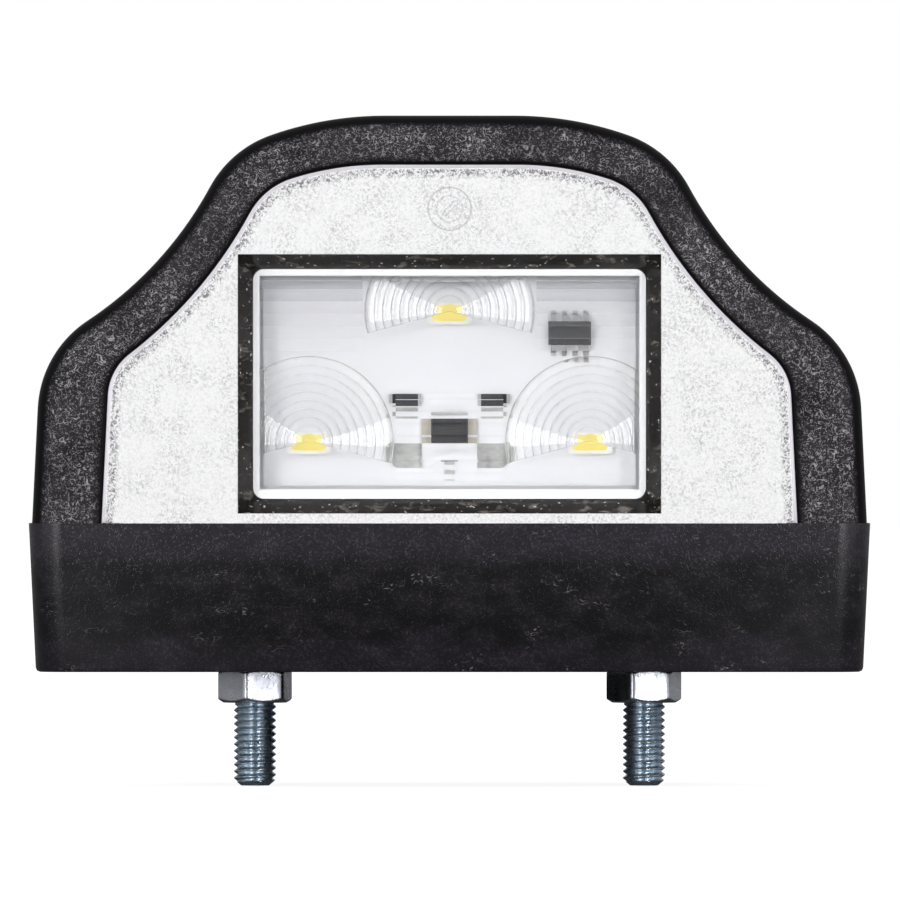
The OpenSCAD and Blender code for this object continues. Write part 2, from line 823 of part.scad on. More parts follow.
module resistor(side)
    color("#1f1f22")
        block(resistor_w, resistor_h, board_front - resistor_t, board_front,
            side * resistor_x, resistor_z);

module resistor_left() resistor(-1);
module resistor_right() resistor(1);

module resistor_caps()
    color("#d5d6d8")
        for (side = [-1, 1], end = [-1, 1])
            block(resistor_cap_w, resistor_h, board_front - resistor_t, board_front,
                side * resistor_x + end * (resistor_w + resistor_cap_w) / 2, resistor_z);

// Joint of one supply wire: a flat pillow of solder
module solder_joint(side)
    color("#b9bab7") {
        slab(joint_w, joint_h, joint_corner_r, board_front - joint_t / 2, board_front,
            side * joint_x, joint_z);
        slab(joint_w - 2 * joint_step, joint_h - 2 * joint_step, joint_corner_r - joint_step,
            board_front - joint_t, board_front - joint_t / 2, side * joint_x, joint_z);
    }

module solder_joint_left() solder_joint(-1);
module solder_joint_right() solder_joint(1);

module contact_pads()
    color("#a8a9ac")
        for (p = pads)
            block(p[2], p[3], board_front - pad_t, board_front, p[0], opening_low + p[1]);

// Stud: hexagon head held in the floor, shank, and a chamfered free end
module stud(side)
    color("#aebac4") translate([side * stud_spacing / 2, 0, 0]) {
        translate([0, 0, base_floor]) hexagon(head_h);
        rotate_extrude() polygon([
            [0, base_floor + weld],
            [stud_pitch_r, base_floor + weld],
            [stud_pitch_r, nut_seat - nut_h],
            [stud_r, nut_seat - nut_h - (stud_r - stud_pitch_r)],
            [stud_r, -stud_reach + stud_chamfer],
            [stud_r - stud_chamfer, -stud_reach],
            [0, -stud_reach]
        ]);
    }

module stud_left() stud(-1);
module stud_right() stud(1);

// Nut, run up to the base
module nut(side, turn)
    color("#c3ccd4") translate([side * stud_spacing / 2, 0, nut_seat - nut_h])
        rotate([0, 0, turn]) difference() {
            hexagon(nut_h);
            translate([0, 0, -cut]) cylinder(r = stud_pitch_r + thread_play, h = nut_h + 2 * cut);
        }

module nut_left() nut(-1, nut_turns[0]);
module nut_right() nut(1, nut_turns[1]);

// Grommet: outer flange, neck through the wall, inner flange, and the cable's bore
module cable_grommet() {
    neck_r = grommet_hole_d / 2 - slip / 2;
    bore_r = cable_d / 2;
    outer_y = grommet_seat_y + grommet_flange;
    inner_y = grommet_wall_y - grommet_flange;
    color("#1a1a1a") translate([0, 0, grommet_z]) rotate([-90, 0, 0]) rotate_extrude()
        polygon([
            [bore_r, inner_y],
            [grommet_d / 2 - grommet_chamfer, inner_y],
            [grommet_d / 2, grommet_wall_y],
            [neck_r, grommet_wall_y],
            [neck_r, grommet_seat_y],
            [grommet_d / 2, grommet_seat_y],
            [grommet_d / 2, outer_y - grommet_chamfer],
            [grommet_d / 2 - grommet_chamfer, outer_y],
            [bore_r, outer_y]
        ]);
}

base_housing();
hood_cover();
lens_cover();
module_tray();
module_frame();
optic_plate();
circuit_board();
led_left();
led_right();
led_top();
phosphor_left();
phosphor_right();
phosphor_top();
driver_chip();
driver_chip_leads();
diode();
diode_terminals();
resistor_left();
resistor_right();
resistor_caps();
solder_joint_left();
solder_joint_right();
contact_pads();
stud_left();
stud_right();
nut_left();
nut_right();
cable_grommet();
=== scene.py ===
"""Looks of the number plate lamp, in metres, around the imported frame.

The lens faces -Y, the studs point down and the underside is at z = 0.
"""
import math

import bmesh
import bpy
import numpy as np
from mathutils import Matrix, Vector


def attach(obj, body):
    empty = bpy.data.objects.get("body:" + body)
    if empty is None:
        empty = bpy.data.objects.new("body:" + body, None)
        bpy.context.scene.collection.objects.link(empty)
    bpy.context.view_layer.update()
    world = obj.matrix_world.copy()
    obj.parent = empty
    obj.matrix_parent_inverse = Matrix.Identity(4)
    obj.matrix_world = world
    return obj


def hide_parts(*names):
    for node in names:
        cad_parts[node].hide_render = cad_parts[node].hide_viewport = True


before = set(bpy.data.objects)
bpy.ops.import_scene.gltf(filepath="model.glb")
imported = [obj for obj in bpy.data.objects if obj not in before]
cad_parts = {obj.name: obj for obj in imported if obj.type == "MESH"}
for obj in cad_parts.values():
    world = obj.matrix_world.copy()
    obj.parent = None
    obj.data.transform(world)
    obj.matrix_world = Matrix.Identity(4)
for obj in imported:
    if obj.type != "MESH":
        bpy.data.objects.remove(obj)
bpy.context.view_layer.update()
MM = 0.001
DOUBLES = 2e-7


# Sizes of the solids in mm and degrees, and counts

BASE_W = 98.5
BASE_D = 48.0
BASE_H = 17.4
HOOD_INSET = 0.4
HOOD_W = BASE_W - 2 * HOOD_INSET
HOOD_H = 47.7
HOOD_WALL = 2.2
HOOD_FRONT_T = 4.2
MOUTH_ROUND = 0.25
HOOD_EDGE_R = 2.8
HOOD_LEVEL_D = 12.0
FALL_POWER = 2.2
SIDE_DRAFT = 2.8
HOOD_FRONT = -BASE_D / 2 + HOOD_INSET
HOOD_REAR = -HOOD_FRONT
HOOD_CORNER_R = 4.0 - HOOD_INSET
HOOD_FLAT = 7.6
HOOD_ROUNDS = ((40.0, 19.5), (13.0, 42.0))
HOOD_WAIST_TURN = 28.0
HOOD_LOW_R = 13.0
FALL_ROWS = 61
EDGE_SHINE = 0.66
SHINE_FADE = 0.22

BAND_W = 8.2
LENS_W = HOOD_W - 2 * BAND_W
LENS_H = 41.9
LENS_T = 3.0
LENS_PROUD = 0.4
LENS_GAP = 0.1
LENS_BEVEL = 1.7
LENS_RIM_W = 0.4
LENS_RIM_H = 0.12
LENS_RIM_SET = 0.02
LIP_W = 0.6
LENS_FLAT = 7.9
LENS_ROUNDS = ((35.0, 17.5), (8.5, 44.0))
LENS_WAIST_TURN = 24.0
LENS_LOW_R = 6.5
LENS_FRONT = HOOD_FRONT - LENS_PROUD
LENS_BACK = LENS_FRONT + LENS_T
LENS_FOOT_STEPS = 60

WINDOW_W = 49.5
WINDOW_H = 30.3
WINDOW_FOOT = 1.15
WINDOW_MID = BASE_H + WINDOW_FOOT + WINDOW_H / 2
WINDOW_POCKET = 0.4
WINDOW_MARGIN = 0.05
DATE_RING_Z = WINDOW_MID + WINDOW_H / 2 + 5.3
DATE_RING_R = 2.6
DATE_INNER_R = 1.6
DATE_TICK_L = 0.5
DATE_TICKS = 12
POINTER_L = 1.9
POINTER_W = 0.45
POINTER_HEAD = 0.45

TRAY_SIDE = 1.75
TRAY_TOP = 1.7
RIM_SIDE = 0.7
RIM_TOP = 0.75
RIM_FOOT = 1.05
FRAME_W = WINDOW_W - 2 * TRAY_SIDE
FRAME_H = WINDOW_H - 2 * TRAY_TOP
FRAME_FRONT = LENS_BACK + 2.5
OPENING_W = FRAME_W - 2 * RIM_SIDE
OPENING_H = FRAME_H - RIM_TOP - RIM_FOOT
OPENING_MID = WINDOW_MID + (RIM_FOOT - RIM_TOP) / 2
OPENING_LOW = OPENING_MID - OPENING_H / 2
OPENING_HIGH = OPENING_MID + OPENING_H / 2
OPTIC_FRONT = FRAME_FRONT + 0.45
OPTIC_BACK = OPTIC_FRONT + 1.4
SLAB_FRONT = OPTIC_FRONT + 0.3
SLAB_OVERLAP = 0.1
SLIP = 0.1

FAN_R = 10.0
FAN_DISC_R = 0.9
RING_PITCH = 1.0
RING_H = 0.35
TOOTH_LEAN = 0.05
FAN_DROP = 15.0
FAN_STEPS = 211
LED_X = OPENING_W / 2 - 5.8
LED_LOW_Z = OPENING_LOW + 5.7
LED_HIGH_Z = OPENING_HIGH - 4.2
FAN_PLACES = {"left": (-LED_X, LED_LOW_Z), "right": (LED_X, LED_LOW_Z), "top": (0.0, LED_HIGH_Z)}
STEP_PITCH = 1.45
STEP_COUNT = 6
STEP_H = 0.3
STEP_GAP = 0.2
STEP_LEAN = 0.02
BAR_COUNT = 7
BAR_H = 0.2
BAR_LOW = 1.1

STUD_X = 23.0
STUD_R = 2.5
STUD_REACH = 13.7
STUD_SIDES = 64
THREAD_PITCH = 0.8
THREAD_DEPTH = 0.44
THREAD_CREST = 1.16
THREAD_RUNOUT = 0.3
THREAD_STEPS = 14
TIP_CHAMFER = 0.85
TIP_SLOPE = 1.2
SHANK_R = 2.3
BASE_FLOOR = 3.0
HEAD_H = 3.5
HEAD_CHAMFER = 0.3
HEAD_SHARES = (0.82, 0.93, 1.0, 1.0, 0.92)
HEX_FLATS = 8.0
HEX_EASE = 0.08
HEX_POWER = 70.0
NUT_H = 4.0
NUT_SEAT = 0.1
NUT_BORE_R = 2.35
NUT_BORE_CHAMFER = 0.45
NUT_FACE_R = (2.75, 3.4)
NUT_CONE_R = 3.75
NUT_CONE_SLOPE = 1.75
NUT_CHAMFER_H = 0.6
NUT_CONE_POWER = 60.0
NUT_OUTSIDE = 9.0
NUT_SIDES = 144
NUT_TURNS = {"left": -14.0, "right": -19.0}


# Outlines and grids

def turned_chain(arcs, inset, steps):
    """Points of a chain of arcs, from level ground at (0, 0).

    Each arc is (radius, turn in degrees). It starts at the heading the last one ended at, and a
    point after a turn t lies at side * r * (sin(h + t) - sin(h), cos(h + t) - cos(h)), where a
    hollow (negative turn) has side -1 and its radius grows by the inset.
    """
    start = np.zeros(2)
    heading = 0.0
    points = []
    for radius, turn in arcs:
        side = np.sign(turn)
        r = radius - side * inset
        t = math.radians(heading) + np.linspace(0, math.radians(turn), steps + 1)
        arc = start + side * r * np.stack([np.sin(t) - math.sin(t[0]), np.cos(t) - math.cos(t[0])], 1)
        points.append(arc[:-1])
        start = arc[-1]
        heading += turn
    return np.concatenate(points + [start[None]])


def fitted_arcs(width, height, rounds, waist_turn, low_r):
    """Arcs that take a width outside the level top, down to the foot of the drafted side.

    The width taken is x + (height + z) * tan(draft) at the chain's end. It grows evenly with the
    radius of the hollow between the rounds and the low corner, so two tries give that radius.
    """
    low_turn = 90 - SIDE_DRAFT - sum(turn for _, turn in rounds) + waist_turn

    def taken(waist_r):
        x, z = turned_chain((*rounds, (waist_r, -waist_turn), (low_r, low_turn)), 0, 1)[-1]
        return x + (height + z) * DRAFT_SLOPE

    waist_r = (width - taken(0)) / (taken(1) - taken(0))
    return (*rounds, (waist_r, -waist_turn), (low_r, low_turn))


ARC_STEPS = 18
FOOT_STEPS = 6
DRAFT_SLOPE = math.tan(math.radians(SIDE_DRAFT))
HOOD_ARCS = fitted_arcs(HOOD_W / 2 - HOOD_FLAT, HOOD_H, HOOD_ROUNDS, HOOD_WAIST_TURN, HOOD_LOW_R)
LENS_ARCS = fitted_arcs(LENS_W / 2 - LENS_FLAT, LENS_H, LENS_ROUNDS, LENS_WAIST_TURN, LENS_LOW_R)


def outline(flat, height, arcs, inset):
    """Left foot, over the level top, to the right foot, as (x, z) above the base, in mm.

    The chain of arcs starts where the level top ends and runs on into the straight drafted side;
    the other half is its mirror image.
    """
    half = turned_chain(arcs, inset, ARC_STEPS) + (flat, height - inset)
    end = half[-1]
    z = np.linspace(end[1], 0, FOOT_STEPS + 1)[1:]
    half = np.concatenate([half, np.stack([end[0] + (end[1] - z) * DRAFT_SLOPE, z], 1)])
    return np.concatenate([half[::-1] * (-1, 1), half])


def hood_outline(inset):
    """The hood's outline, moved in by an inset."""
    return outline(HOOD_FLAT, HOOD_H, HOOD_ARCS, inset)


def lens_outline(inset):
    """The lens's outline, moved in by an inset."""
    return outline(LENS_FLAT, LENS_H, LENS_ARCS, inset)


def upright(points, y, narrow=1.0, lower=1.0):
    """A row of (x, z) points stood at depth y on the base: (x * narrow, y, base + z * lower)."""
    return np.stack([points[:, 0] * narrow, np.full(len(points), float(y)),
                     BASE_H + points[:, 1] * lower], 1)


def quads(rows, cols, wrap_rows=False, wrap_cols=False):
    """Four corners of each cell of a rows x cols grid of points numbered row by row."""
    r = np.arange(rows if wrap_rows else rows - 1)
    c = np.arange(cols if wrap_cols else cols - 1)
    a, b = np.meshgrid(r, c, indexing="ij")
    a2, b2 = (a + 1) % rows, (b + 1) % cols
    return np.stack([a * cols + b, a2 * cols + b, a2 * cols + b2, a * cols + b2], -1).reshape(-1, 4)


def spokes(start, hub, cols):
    """Triangles from a hub to a closed row of points numbered from a start."""
    c = np.arange(cols)
    return np.stack([start + c, np.full(cols, hub), start + (c + 1) % cols], 1)


def in_scene(name, data):
    """A new object in the scene, from a mesh, a lamp or a camera."""
    made = bpy.data.objects.new(name, data)
    bpy.context.scene.collection.objects.link(made)
    return made


def new_mesh(name, points, faces, materials):
    """A mesh from points in mm, with its materials."""
    mesh = bpy.data.meshes.new(name)
    mesh.from_pydata((np.asarray(points, float) * MM).tolist(), [], [list(map(int, f)) for f in faces])
    for material in materials:
        mesh.materials.append(material)
    return mesh


def point_out(mesh, merge=False):
    """Turns a closed mesh's faces outwards, and merges its doubles first where asked."""
    work = bmesh.new()
    work.from_mesh(mesh)
    if merge:
        bmesh.ops.remove_doubles(work, verts=work.verts, dist=DOUBLES)
    bmesh.ops.recalc_face_normals(work, faces=work.faces)
    work.to_mesh(mesh)
    work.free()


def dressed(name, mesh, node, smooth):
    """A piece on the body in place of a CAD node, shaded smooth under an angle in degrees."""
    mesh.polygons.foreach_set("use_smooth", np.ones(len(mesh.polygons), bool))
    mesh.set_sharp_from_angle(angle=math.radians(smooth))
    mesh.update()
    piece = in_scene(name, mesh)
    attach(piece, "root")
    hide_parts(node)


def make_piece(name, points, faces, materials, node, smooth, face_material=None, grain=None):
    """A closed piece from points in mm, with its faces turned outwards.

    face_material is a material number per face, and grain a value per point.
    """
    mesh = new_mesh(name, points, faces, materials)
    mesh.validate()
    if face_material is not None:
        mesh.polygons.foreach_set("material_index", np.asarray(face_material, np.int32))
    if grain is not None:
        layer = mesh.attributes.new("grain", "FLOAT", "POINT")
        layer.data.foreach_set("value", np.asarray(grain, np.float32))
    dressed(name, mesh, node, smooth)
    point_out(mesh)


def merged_copy(name, node, material, smooth):
    """A copy of a CAD node with its loose triangles joined, so that round edges shade smooth."""
    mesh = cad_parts[node].data.copy()
    work = bmesh.new()
    work.from_mesh(mesh)
    bmesh.ops.remove_doubles(work, verts=work.verts, dist=DOUBLES)
    work.to_mesh(mesh)
    work.free()
    for layer in ("custom_normal", "sharp_face", "sharp_edge"):
        if layer in mesh.attributes:
            mesh.attributes.remove(mesh.attributes[layer])
    mesh.materials.clear()
    mesh.materials.append(material)
    mesh.name = name
    dressed(name, mesh, node, smooth)


# Shader nodes

def add(tree, kind, settings=None, **inputs):
    """Adds a shader node, sets its own settings and fills its inputs with values or links.

    An input is named by its socket, or by i and its number.
    """
    made = tree.nodes.new("ShaderNode" + kind)
    for key, value in (settings or {}).items():
        setattr(made, key, value)
    for key, value in inputs.items():
        numbered = key[0] == "i" and key[1:].isdigit()
        socket = made.inputs[int(key[1:]) if numbered else key.replace("_", " ")]
        if isinstance(value, bpy.types.NodeSocket):
            tree.links.new(value, socket)
        else:
            socket.default_value = value
    return made


def arith(tree, operation, a, b=0.0, c=0.0, clamp=False):
    """One sum on values or links, and its result."""
    made = add(tree, "Math", {"operation": operation, "use_clamp": clamp}, i0=a, i1=b, i2=c)
    return made.outputs[0]


def plus(tree, a, b):
    """a + b."""
    return arith(tree, "ADD", a, b)


def minus(tree, a, b, clamp=False):
    """a - b."""
    return arith(tree, "SUBTRACT", a, b, clamp=clamp)


def times(tree, a, b, clamp=False):
    """a * b."""
    return arith(tree, "MULTIPLY", a, b, clamp=clamp)


def larger(tree, a, b):
    """The larger of a and b."""
    return arith(tree, "MAXIMUM", a, b)


def blend(tree, share, first, second):
    """Colour between two colours, by a share from 0 to 1."""
    return add(tree, "Mix", {"data_type": "RGBA"}, i0=share, i6=first, i7=second).outputs[2]


def noise(tree, spot, scale, detail=0.0, distortion=0.0):
    """A noise from 0 to 1 over the surface."""
    made = add(tree, "TexNoise", Vector=spot, Scale=scale, Detail=detail, Distortion=distortion)
    return made.outputs["Fac"]


def smooth_step(tree, value, low, high, at_low=0.0, at_high=1.0):
    """Eases from one value to another while the input goes from low to high."""
    made = add(tree, "MapRange", {"interpolation_type": "SMOOTHSTEP"}, Value=value,
               From_Min=low, From_Max=high, To_Min=at_low, To_Max=at_high)
    return made.outputs["Result"]


def new_group(name, inputs, outputs):
    """An empty node group, its tree, its input node and its output node."""
    group = bpy.data.node_groups.new(name, "ShaderNodeTree")
    for way, sockets in (("INPUT", inputs), ("OUTPUT", outputs)):
        for socket, kind in sockets.items():
            group.interface.new_socket(socket, in_out=way, socket_type="NodeSocket" + kind)
    return group, group.nodes.new("NodeGroupInput"), group.nodes.new("NodeGroupOutput")


def hair_group():
    """Short curly strokes: the level lines of a noise, broken up by a finer one.

    The noise times levels runs up and down between 0 and 0.5, and a stroke is where it comes
    within Width of 0.5. Mark (0 to 1), Cloud and Height come out.
    """
    levels = 4.0
    inputs = {"Vector": "Vector", "Scale": "Float", "Width": "Float"}
    outputs = {"Mark": "Float", "Cloud": "Float", "Height": "Float"}
    group, inside, outside = new_group("hair_grain", inputs, outputs)
    spot, scale = inside.outputs["Vector"], inside.outputs["Scale"]
    wave = noise(group, spot, scale, 1.0, 0.8)
    lines = arith(group, "PINGPONG", times(group, wave, levels), 0.5)
    near = minus(group, 0.5, lines)
    part = arith(group, "DIVIDE", near, inside.outputs["Width"])
    stroke = minus(group, 1.0, part, clamp=True)
    breaks = noise(group, spot, times(group, scale, 1.9))
    mark = times(group, stroke, smooth_step(group, breaks, 0.38, 0.56))
    cloud = noise(group, spot, times(group, scale, 0.25), 2.0)
    height = plus(group, times(group, wave, 0.4), times(group, mark, 0.6))
    group.links.new(mark, outside.inputs["Mark"])
    group.links.new(cloud, outside.inputs["Cloud"])
    group.links.new(height, outside.inputs["Height"])
    return group


def speck_group():
    """Rare small dots: the peaks of a fine noise above Level."""
    inputs = {"Vector": "Vector", "Scale": "Float", "Level": "Float"}
    group, inside, outside = new_group("specks", inputs, {"Mark": "Float"})
    dots = noise(group, inside.outputs["Vector"], inside.outputs["Scale"])
    over = minus(group, dots, inside.outputs["Level"])
    group.links.new(times(group, over, 25.0, clamp=True), outside.inputs["Mark"])
    return group


def far_off(tree, x, z):
    """Distance from (0, 0): the root of x * x + z * z."""
    squares = plus(tree, times(tree, x, x), times(tree, z, z))
    return arith(tree, "SQRT", squares)


def line_mask(tree, distance, half_width):
    """1 on a line and 0 beside it, from the distance to its middle, in mm."""
    off = arith(tree, "ABSOLUTE", distance)
    return smooth_step(tree, off, half_width * 0.5, half_width * 1.5, 1.0, 0.0)


def date_ring_group():
    """Grooves of the mould's date ring, round (0, 0) in a plane of x and z in mm.

    Two rings |r - R| < w, ticks where the angle wraps to zero inside the outer ring, and the
    edge of a pointer: a bar |u| < L/2, |v| < W/2 and a head |v| < 0.6 (tip - u).
    """
    groove = 0.09
    group, inside, outside = new_group("date_ring", {"Vector": "Vector"}, {"Line": "Float"})
    part = add(group, "SeparateXYZ", Vector=inside.outputs["Vector"])
    x, z = part.outputs["X"], part.outputs["Z"]
    r = far_off(group, x, z)
    outer = line_mask(group, minus(group, r, DATE_RING_R - groove), groove)
    inner = line_mask(group, minus(group, r, DATE_INNER_R - groove), groove)
    share = 2 * math.pi / DATE_TICKS
    turn = arith(group, "WRAP", arith(group, "ARCTAN2", z, x), share / 2, -share / 2)
    tick = line_mask(group, times(group, turn, r), groove)
    ticks_in = DATE_RING_R - DATE_TICK_L
    tick = times(group, tick, smooth_step(group, r, ticks_in - 0.05, ticks_in))
    tick = times(group, tick, smooth_step(group, r, DATE_RING_R - 0.05, DATE_RING_R, 1.0, 0.0))
    half = math.sqrt(0.5)
    u = times(group, plus(group, x, z), half)
    v = arith(group, "ABSOLUTE", times(group, minus(group, z, x), half))
    bar = larger(group, minus(group, arith(group, "ABSOLUTE", u), POINTER_L / 2),
                 minus(group, v, POINTER_W / 2))
    tip = POINTER_L / 2 + POINTER_HEAD
    slant = minus(group, v, times(group, minus(group, tip, u), 0.6))
    head = larger(group, slant, minus(group, POINTER_L / 2 - 0.2, u))
    pointer = line_mask(group, arith(group, "MINIMUM", bar, head), groove * 0.7)
    inner = times(group, inner, 0.6)
    tick = times(group, tick, 0.7)
    line = outer
    for other in (inner, tick, pointer):
        line = larger(group, line, other)
    group.links.new(line, outside.inputs["Line"])
    return group


def ring_group():
    """How grey a fan's rings are painted, from a place in mm round the fan's centre: painted shade for the
    darker view that the ring prisms bend in.

    Each ring greys to its outer edge, t = fract((r - disc) / pitch) ^ 4, more beside the diode
    than above it, (x / r)^2, and a thin line runs along both straight ends of the fan.
    """
    inputs = {"Vector": "Vector", "Grain": "Float"}
    group, inside, outside = new_group("fan_rings", inputs, {"Grey": "Float"})
    part = add(group, "SeparateXYZ", Vector=inside.outputs["Vector"])
    x, z = part.outputs["X"], part.outputs["Z"]
    r = far_off(group, x, z)
    t = arith(group, "FRACT", arith(group, "DIVIDE", minus(group, r, FAN_DISC_R), RING_PITCH))
    t = arith(group, "POWER", t, 4.0)
    across = arith(group, "DIVIDE", x, plus(group, r, 0.05))
    beside = times(group, across, across)
    amount = plus(group, 0.3, times(group, beside, 0.35))
    rings = times(group, times(group, t, amount), inside.outputs["Grain"])
    rings = times(group, rings, smooth_step(group, r, FAN_DISC_R, FAN_DISC_R + 1.5))
    drop = math.radians(FAN_DROP)
    end = plus(group, times(group, arith(group, "ABSOLUTE", x), math.sin(drop)),
               times(group, z, math.cos(drop)))
    edge = times(group, line_mask(group, end, 0.07), 0.5)
    rim = times(group, line_mask(group, minus(group, r, FAN_R - 0.06), 0.07), 0.35)
    grey = larger(group, larger(group, rings, edge), rim)
    group.links.new(grey, outside.inputs["Grey"])
    return group


HAIR = hair_group()
SPECKS = speck_group()
DATE_RING = date_ring_group()
RINGS = ring_group()


def grouped(tree, group, **inputs):
    """Outputs of a node group placed in a material."""
    return add(tree, "Group", {"node_tree": group}, **inputs).outputs


def new_material(name):
    """An empty material, its node tree, its shader and its output."""
    material = bpy.data.materials.new(name)
    material.use_nodes = True
    tree = material.node_tree
    tree.nodes.clear()
    output = add(tree, "OutputMaterial")
    shader = add(tree, "BsdfPrincipled")
    tree.links.new(shader.outputs[0], output.inputs[0])
    return material, tree, shader, output


def set_shader(shader, **values):
    """Sets the shader's own sockets."""
    for key, value in values.items():
        shader.inputs[key.replace("_", " ")].default_value = value


def bumpy(tree, shader, height, distance, strength=0.5):
    """Links a bump of a height to the shader's normal."""
    made = add(tree, "Bump", Strength=strength, Distance=distance, Height=height)
    tree.links.new(made.outputs[0], shader.inputs["Normal"])


def mixed(tree, share, first, second):
    """A mix of two shaders, by a share."""
    return add(tree, "MixShader", i0=share, i1=first.outputs[0], i2=second.outputs[0])


def place(tree, stretch=(1, 1, 1)):
    """Object coordinates, stretched along the axes."""
    spot = add(tree, "TexCoord").outputs["Object"]
    return add(tree, "Mapping", Vector=spot, Scale=stretch).outputs["Vector"]


def place_mm(tree, x, z):
    """Object coordinates in mm, measured from a place (x, z)."""
    spot = add(tree, "TexCoord").outputs["Object"]
    moved = add(tree, "Mapping", Vector=spot, Scale=(1000, 1000, 1000), Location=(-x, 0, -z))
    return moved.outputs["Vector"]


def hood_plastic():
    """Black plastic with a curly grain whose strokes are painted light grey as glints, and which fades where
    the point value grain does.
    """
    material, tree, shader, _ = new_material("hood_black")
    hair = grouped(tree, HAIR, Vector=place(tree), Scale=950.0, Width=0.11)
    fine = grouped(tree, HAIR, Vector=place(tree, (1, 1, 1.3)), Scale=2100.0, Width=0.17)
    where = add(tree, "Attribute", {"attribute_name": "grain"}).outputs["Fac"]
    mark = larger(tree, hair["Mark"], times(tree, fine["Mark"], 0.75))
    patchy = noise(tree, place(tree), 120.0, 2.0)
    grain_glints = times(tree, mark, where)
    share = times(tree, grain_glints, smooth_step(tree, patchy, 0.3, 0.7, 0.55, 1.3))
    clouds = times(tree, where, hair["Cloud"])
    ground = blend(tree, clouds, (0.0035, 0.003, 0.004, 1), (0.055, 0.05, 0.058, 1))
    # The grain's strokes are painted light grey: painted glints of the grain, on top of its real bump.
    tree.links.new(blend(tree, share, ground, (0.4, 0.385, 0.41, 1)), shader.inputs["Base Color"])
    raised = plus(tree, hair["Height"], fine["Height"])
    height = times(tree, raised, where)
    bumpy(tree, shader, height, 0.00003, 0.6)
    set_shader(shader, Roughness=0.4, Specular_IOR_Level=0.06)
    return material


def base_plastic():
    """Smoother black plastic: a faint fine mottle, a lighter strip at top and foot, and scratches."""
    material, tree, shader, _ = new_material("base_black")
    hair = grouped(tree, HAIR, Vector=place(tree), Scale=1500.0, Width=0.3)
    scuffs = grouped(tree, HAIR, Vector=place(tree, (0.7, 1, 1.3)), Scale=1000.0, Width=0.09)
    spot = add(tree, "SeparateXYZ", Vector=place_mm(tree, 0, 0)).outputs["Z"]
    wander = noise(tree, place(tree, (1, 1, 3)), 60.0, 3.0)
    level = plus(tree, spot, times(tree, wander, 4.0))
    high = smooth_step(tree, level, BASE_H - 3.5, BASE_H - 0.8)
    low = smooth_step(tree, level, 3.6, 7.0, 0.6, 0.0)
    strip = plus(tree, high, low)
    clouds = smooth_step(tree, noise(tree, place(tree, (0.6, 1, 1)), 420.0, 5.0), 0.4, 0.72)
    lighter = plus(tree, times(tree, strip, 0.5), times(tree, clouds, 0.35))
    ground = blend(tree, lighter, (0.0018, 0.0013, 0.0028, 1), (0.024, 0.02, 0.03, 1))
    amount = plus(tree, 0.02, times(tree, plus(tree, strip, clouds), 0.18))
    faint = times(tree, hair["Mark"], amount)
    colour = blend(tree, faint, ground, (0.085, 0.08, 0.09, 1))
    rare = smooth_step(tree, noise(tree, place(tree, (1, 1, 2)), 170.0, 3.0), 0.57, 0.7)
    scuff = times(tree, times(tree, scuffs["Mark"], rare), 0.8)
    tree.links.new(blend(tree, scuff, colour, (0.26, 0.25, 0.27, 1)), shader.inputs["Base Color"])
    bumpy(tree, shader, hair["Height"], 0.00003)
    set_shader(shader, Roughness=0.3, Specular_IOR_Level=0.42)
    return material


def lens_field():
    """Silver-white grained plastic: curly grey strokes on a near-white ground, with painted shade on the
    bevel's slope, where the ground is greyer and the strokes denser.
    """
    material, tree, shader, _ = new_material("lens_field")
    hair = grouped(tree, HAIR, Vector=place(tree), Scale=1250.0, Width=0.32)
    fine = grouped(tree, HAIR, Vector=place(tree, (1.2, 1, 1)), Scale=2100.0, Width=0.36)
    where = add(tree, "Attribute", {"attribute_name": "grain"}).outputs["Fac"]
    mark = larger(tree, hair["Mark"], times(tree, fine["Mark"], 0.8))
    patchy = smooth_step(tree, hair["Cloud"], 0.35, 0.65, 0.2, 0.5)
    # Painted shade of the bevel: where the point value grain is high, the strokes grow denser and the ground
    # greyer.
    amount = plus(tree, patchy, times(tree, where, 1.2))
    grey = times(tree, mark, amount, clamp=True)
    ground = blend(tree, times(tree, where, 0.25), (0.975, 0.975, 0.98, 1), (0.6, 0.59, 0.62, 1))
    colour = blend(tree, grey, ground, (0.2, 0.195, 0.22, 1))
    date = grouped(tree, DATE_RING, Vector=place_mm(tree, 0, DATE_RING_Z))["Line"]
    colour = blend(tree, times(tree, date, 0.45), colour, (0.3, 0.29, 0.32, 1))
    tree.links.new(colour, shader.inputs["Base Color"])
    raised = plus(tree, hair["Height"], fine["Height"])
    height = minus(tree, raised, times(tree, date, 0.6))
    bumpy(tree, shader, height, 0.00004)
    set_shader(shader, Roughness=0.38, Specular_IOR_Level=0.4)
    return material


def clear_plastic(name, tint):
    """Clear plastic that lets lamplight through, with its tree, its last shader and its output."""
    material, tree, shader, output = new_material(name)
    set_shader(shader, Base_Color=tint, Roughness=0.0, IOR=1.49, Transmission_Weight=1.0)
    open_light = add(tree, "BsdfTransparent", Color=tint)
    shadow = add(tree, "LightPath").outputs["Is Shadow Ray"]
    mix = mixed(tree, shadow, shader, open_light)
    tree.links.new(mix.outputs[0], output.inputs[0])
    return material, tree, mix, output


def paint_prism_shade(tree, mix, output, share, colour):
    """Lays a matt colour over clear plastic, by a share: painted shade for the darker view that the prisms
    bend in.
    """
    matt = add(tree, "BsdfPrincipled")
    set_shader(matt, Base_Color=colour, Roughness=0.4)
    tree.links.new(mixed(tree, share, mix, matt).outputs[0], output.inputs[0])


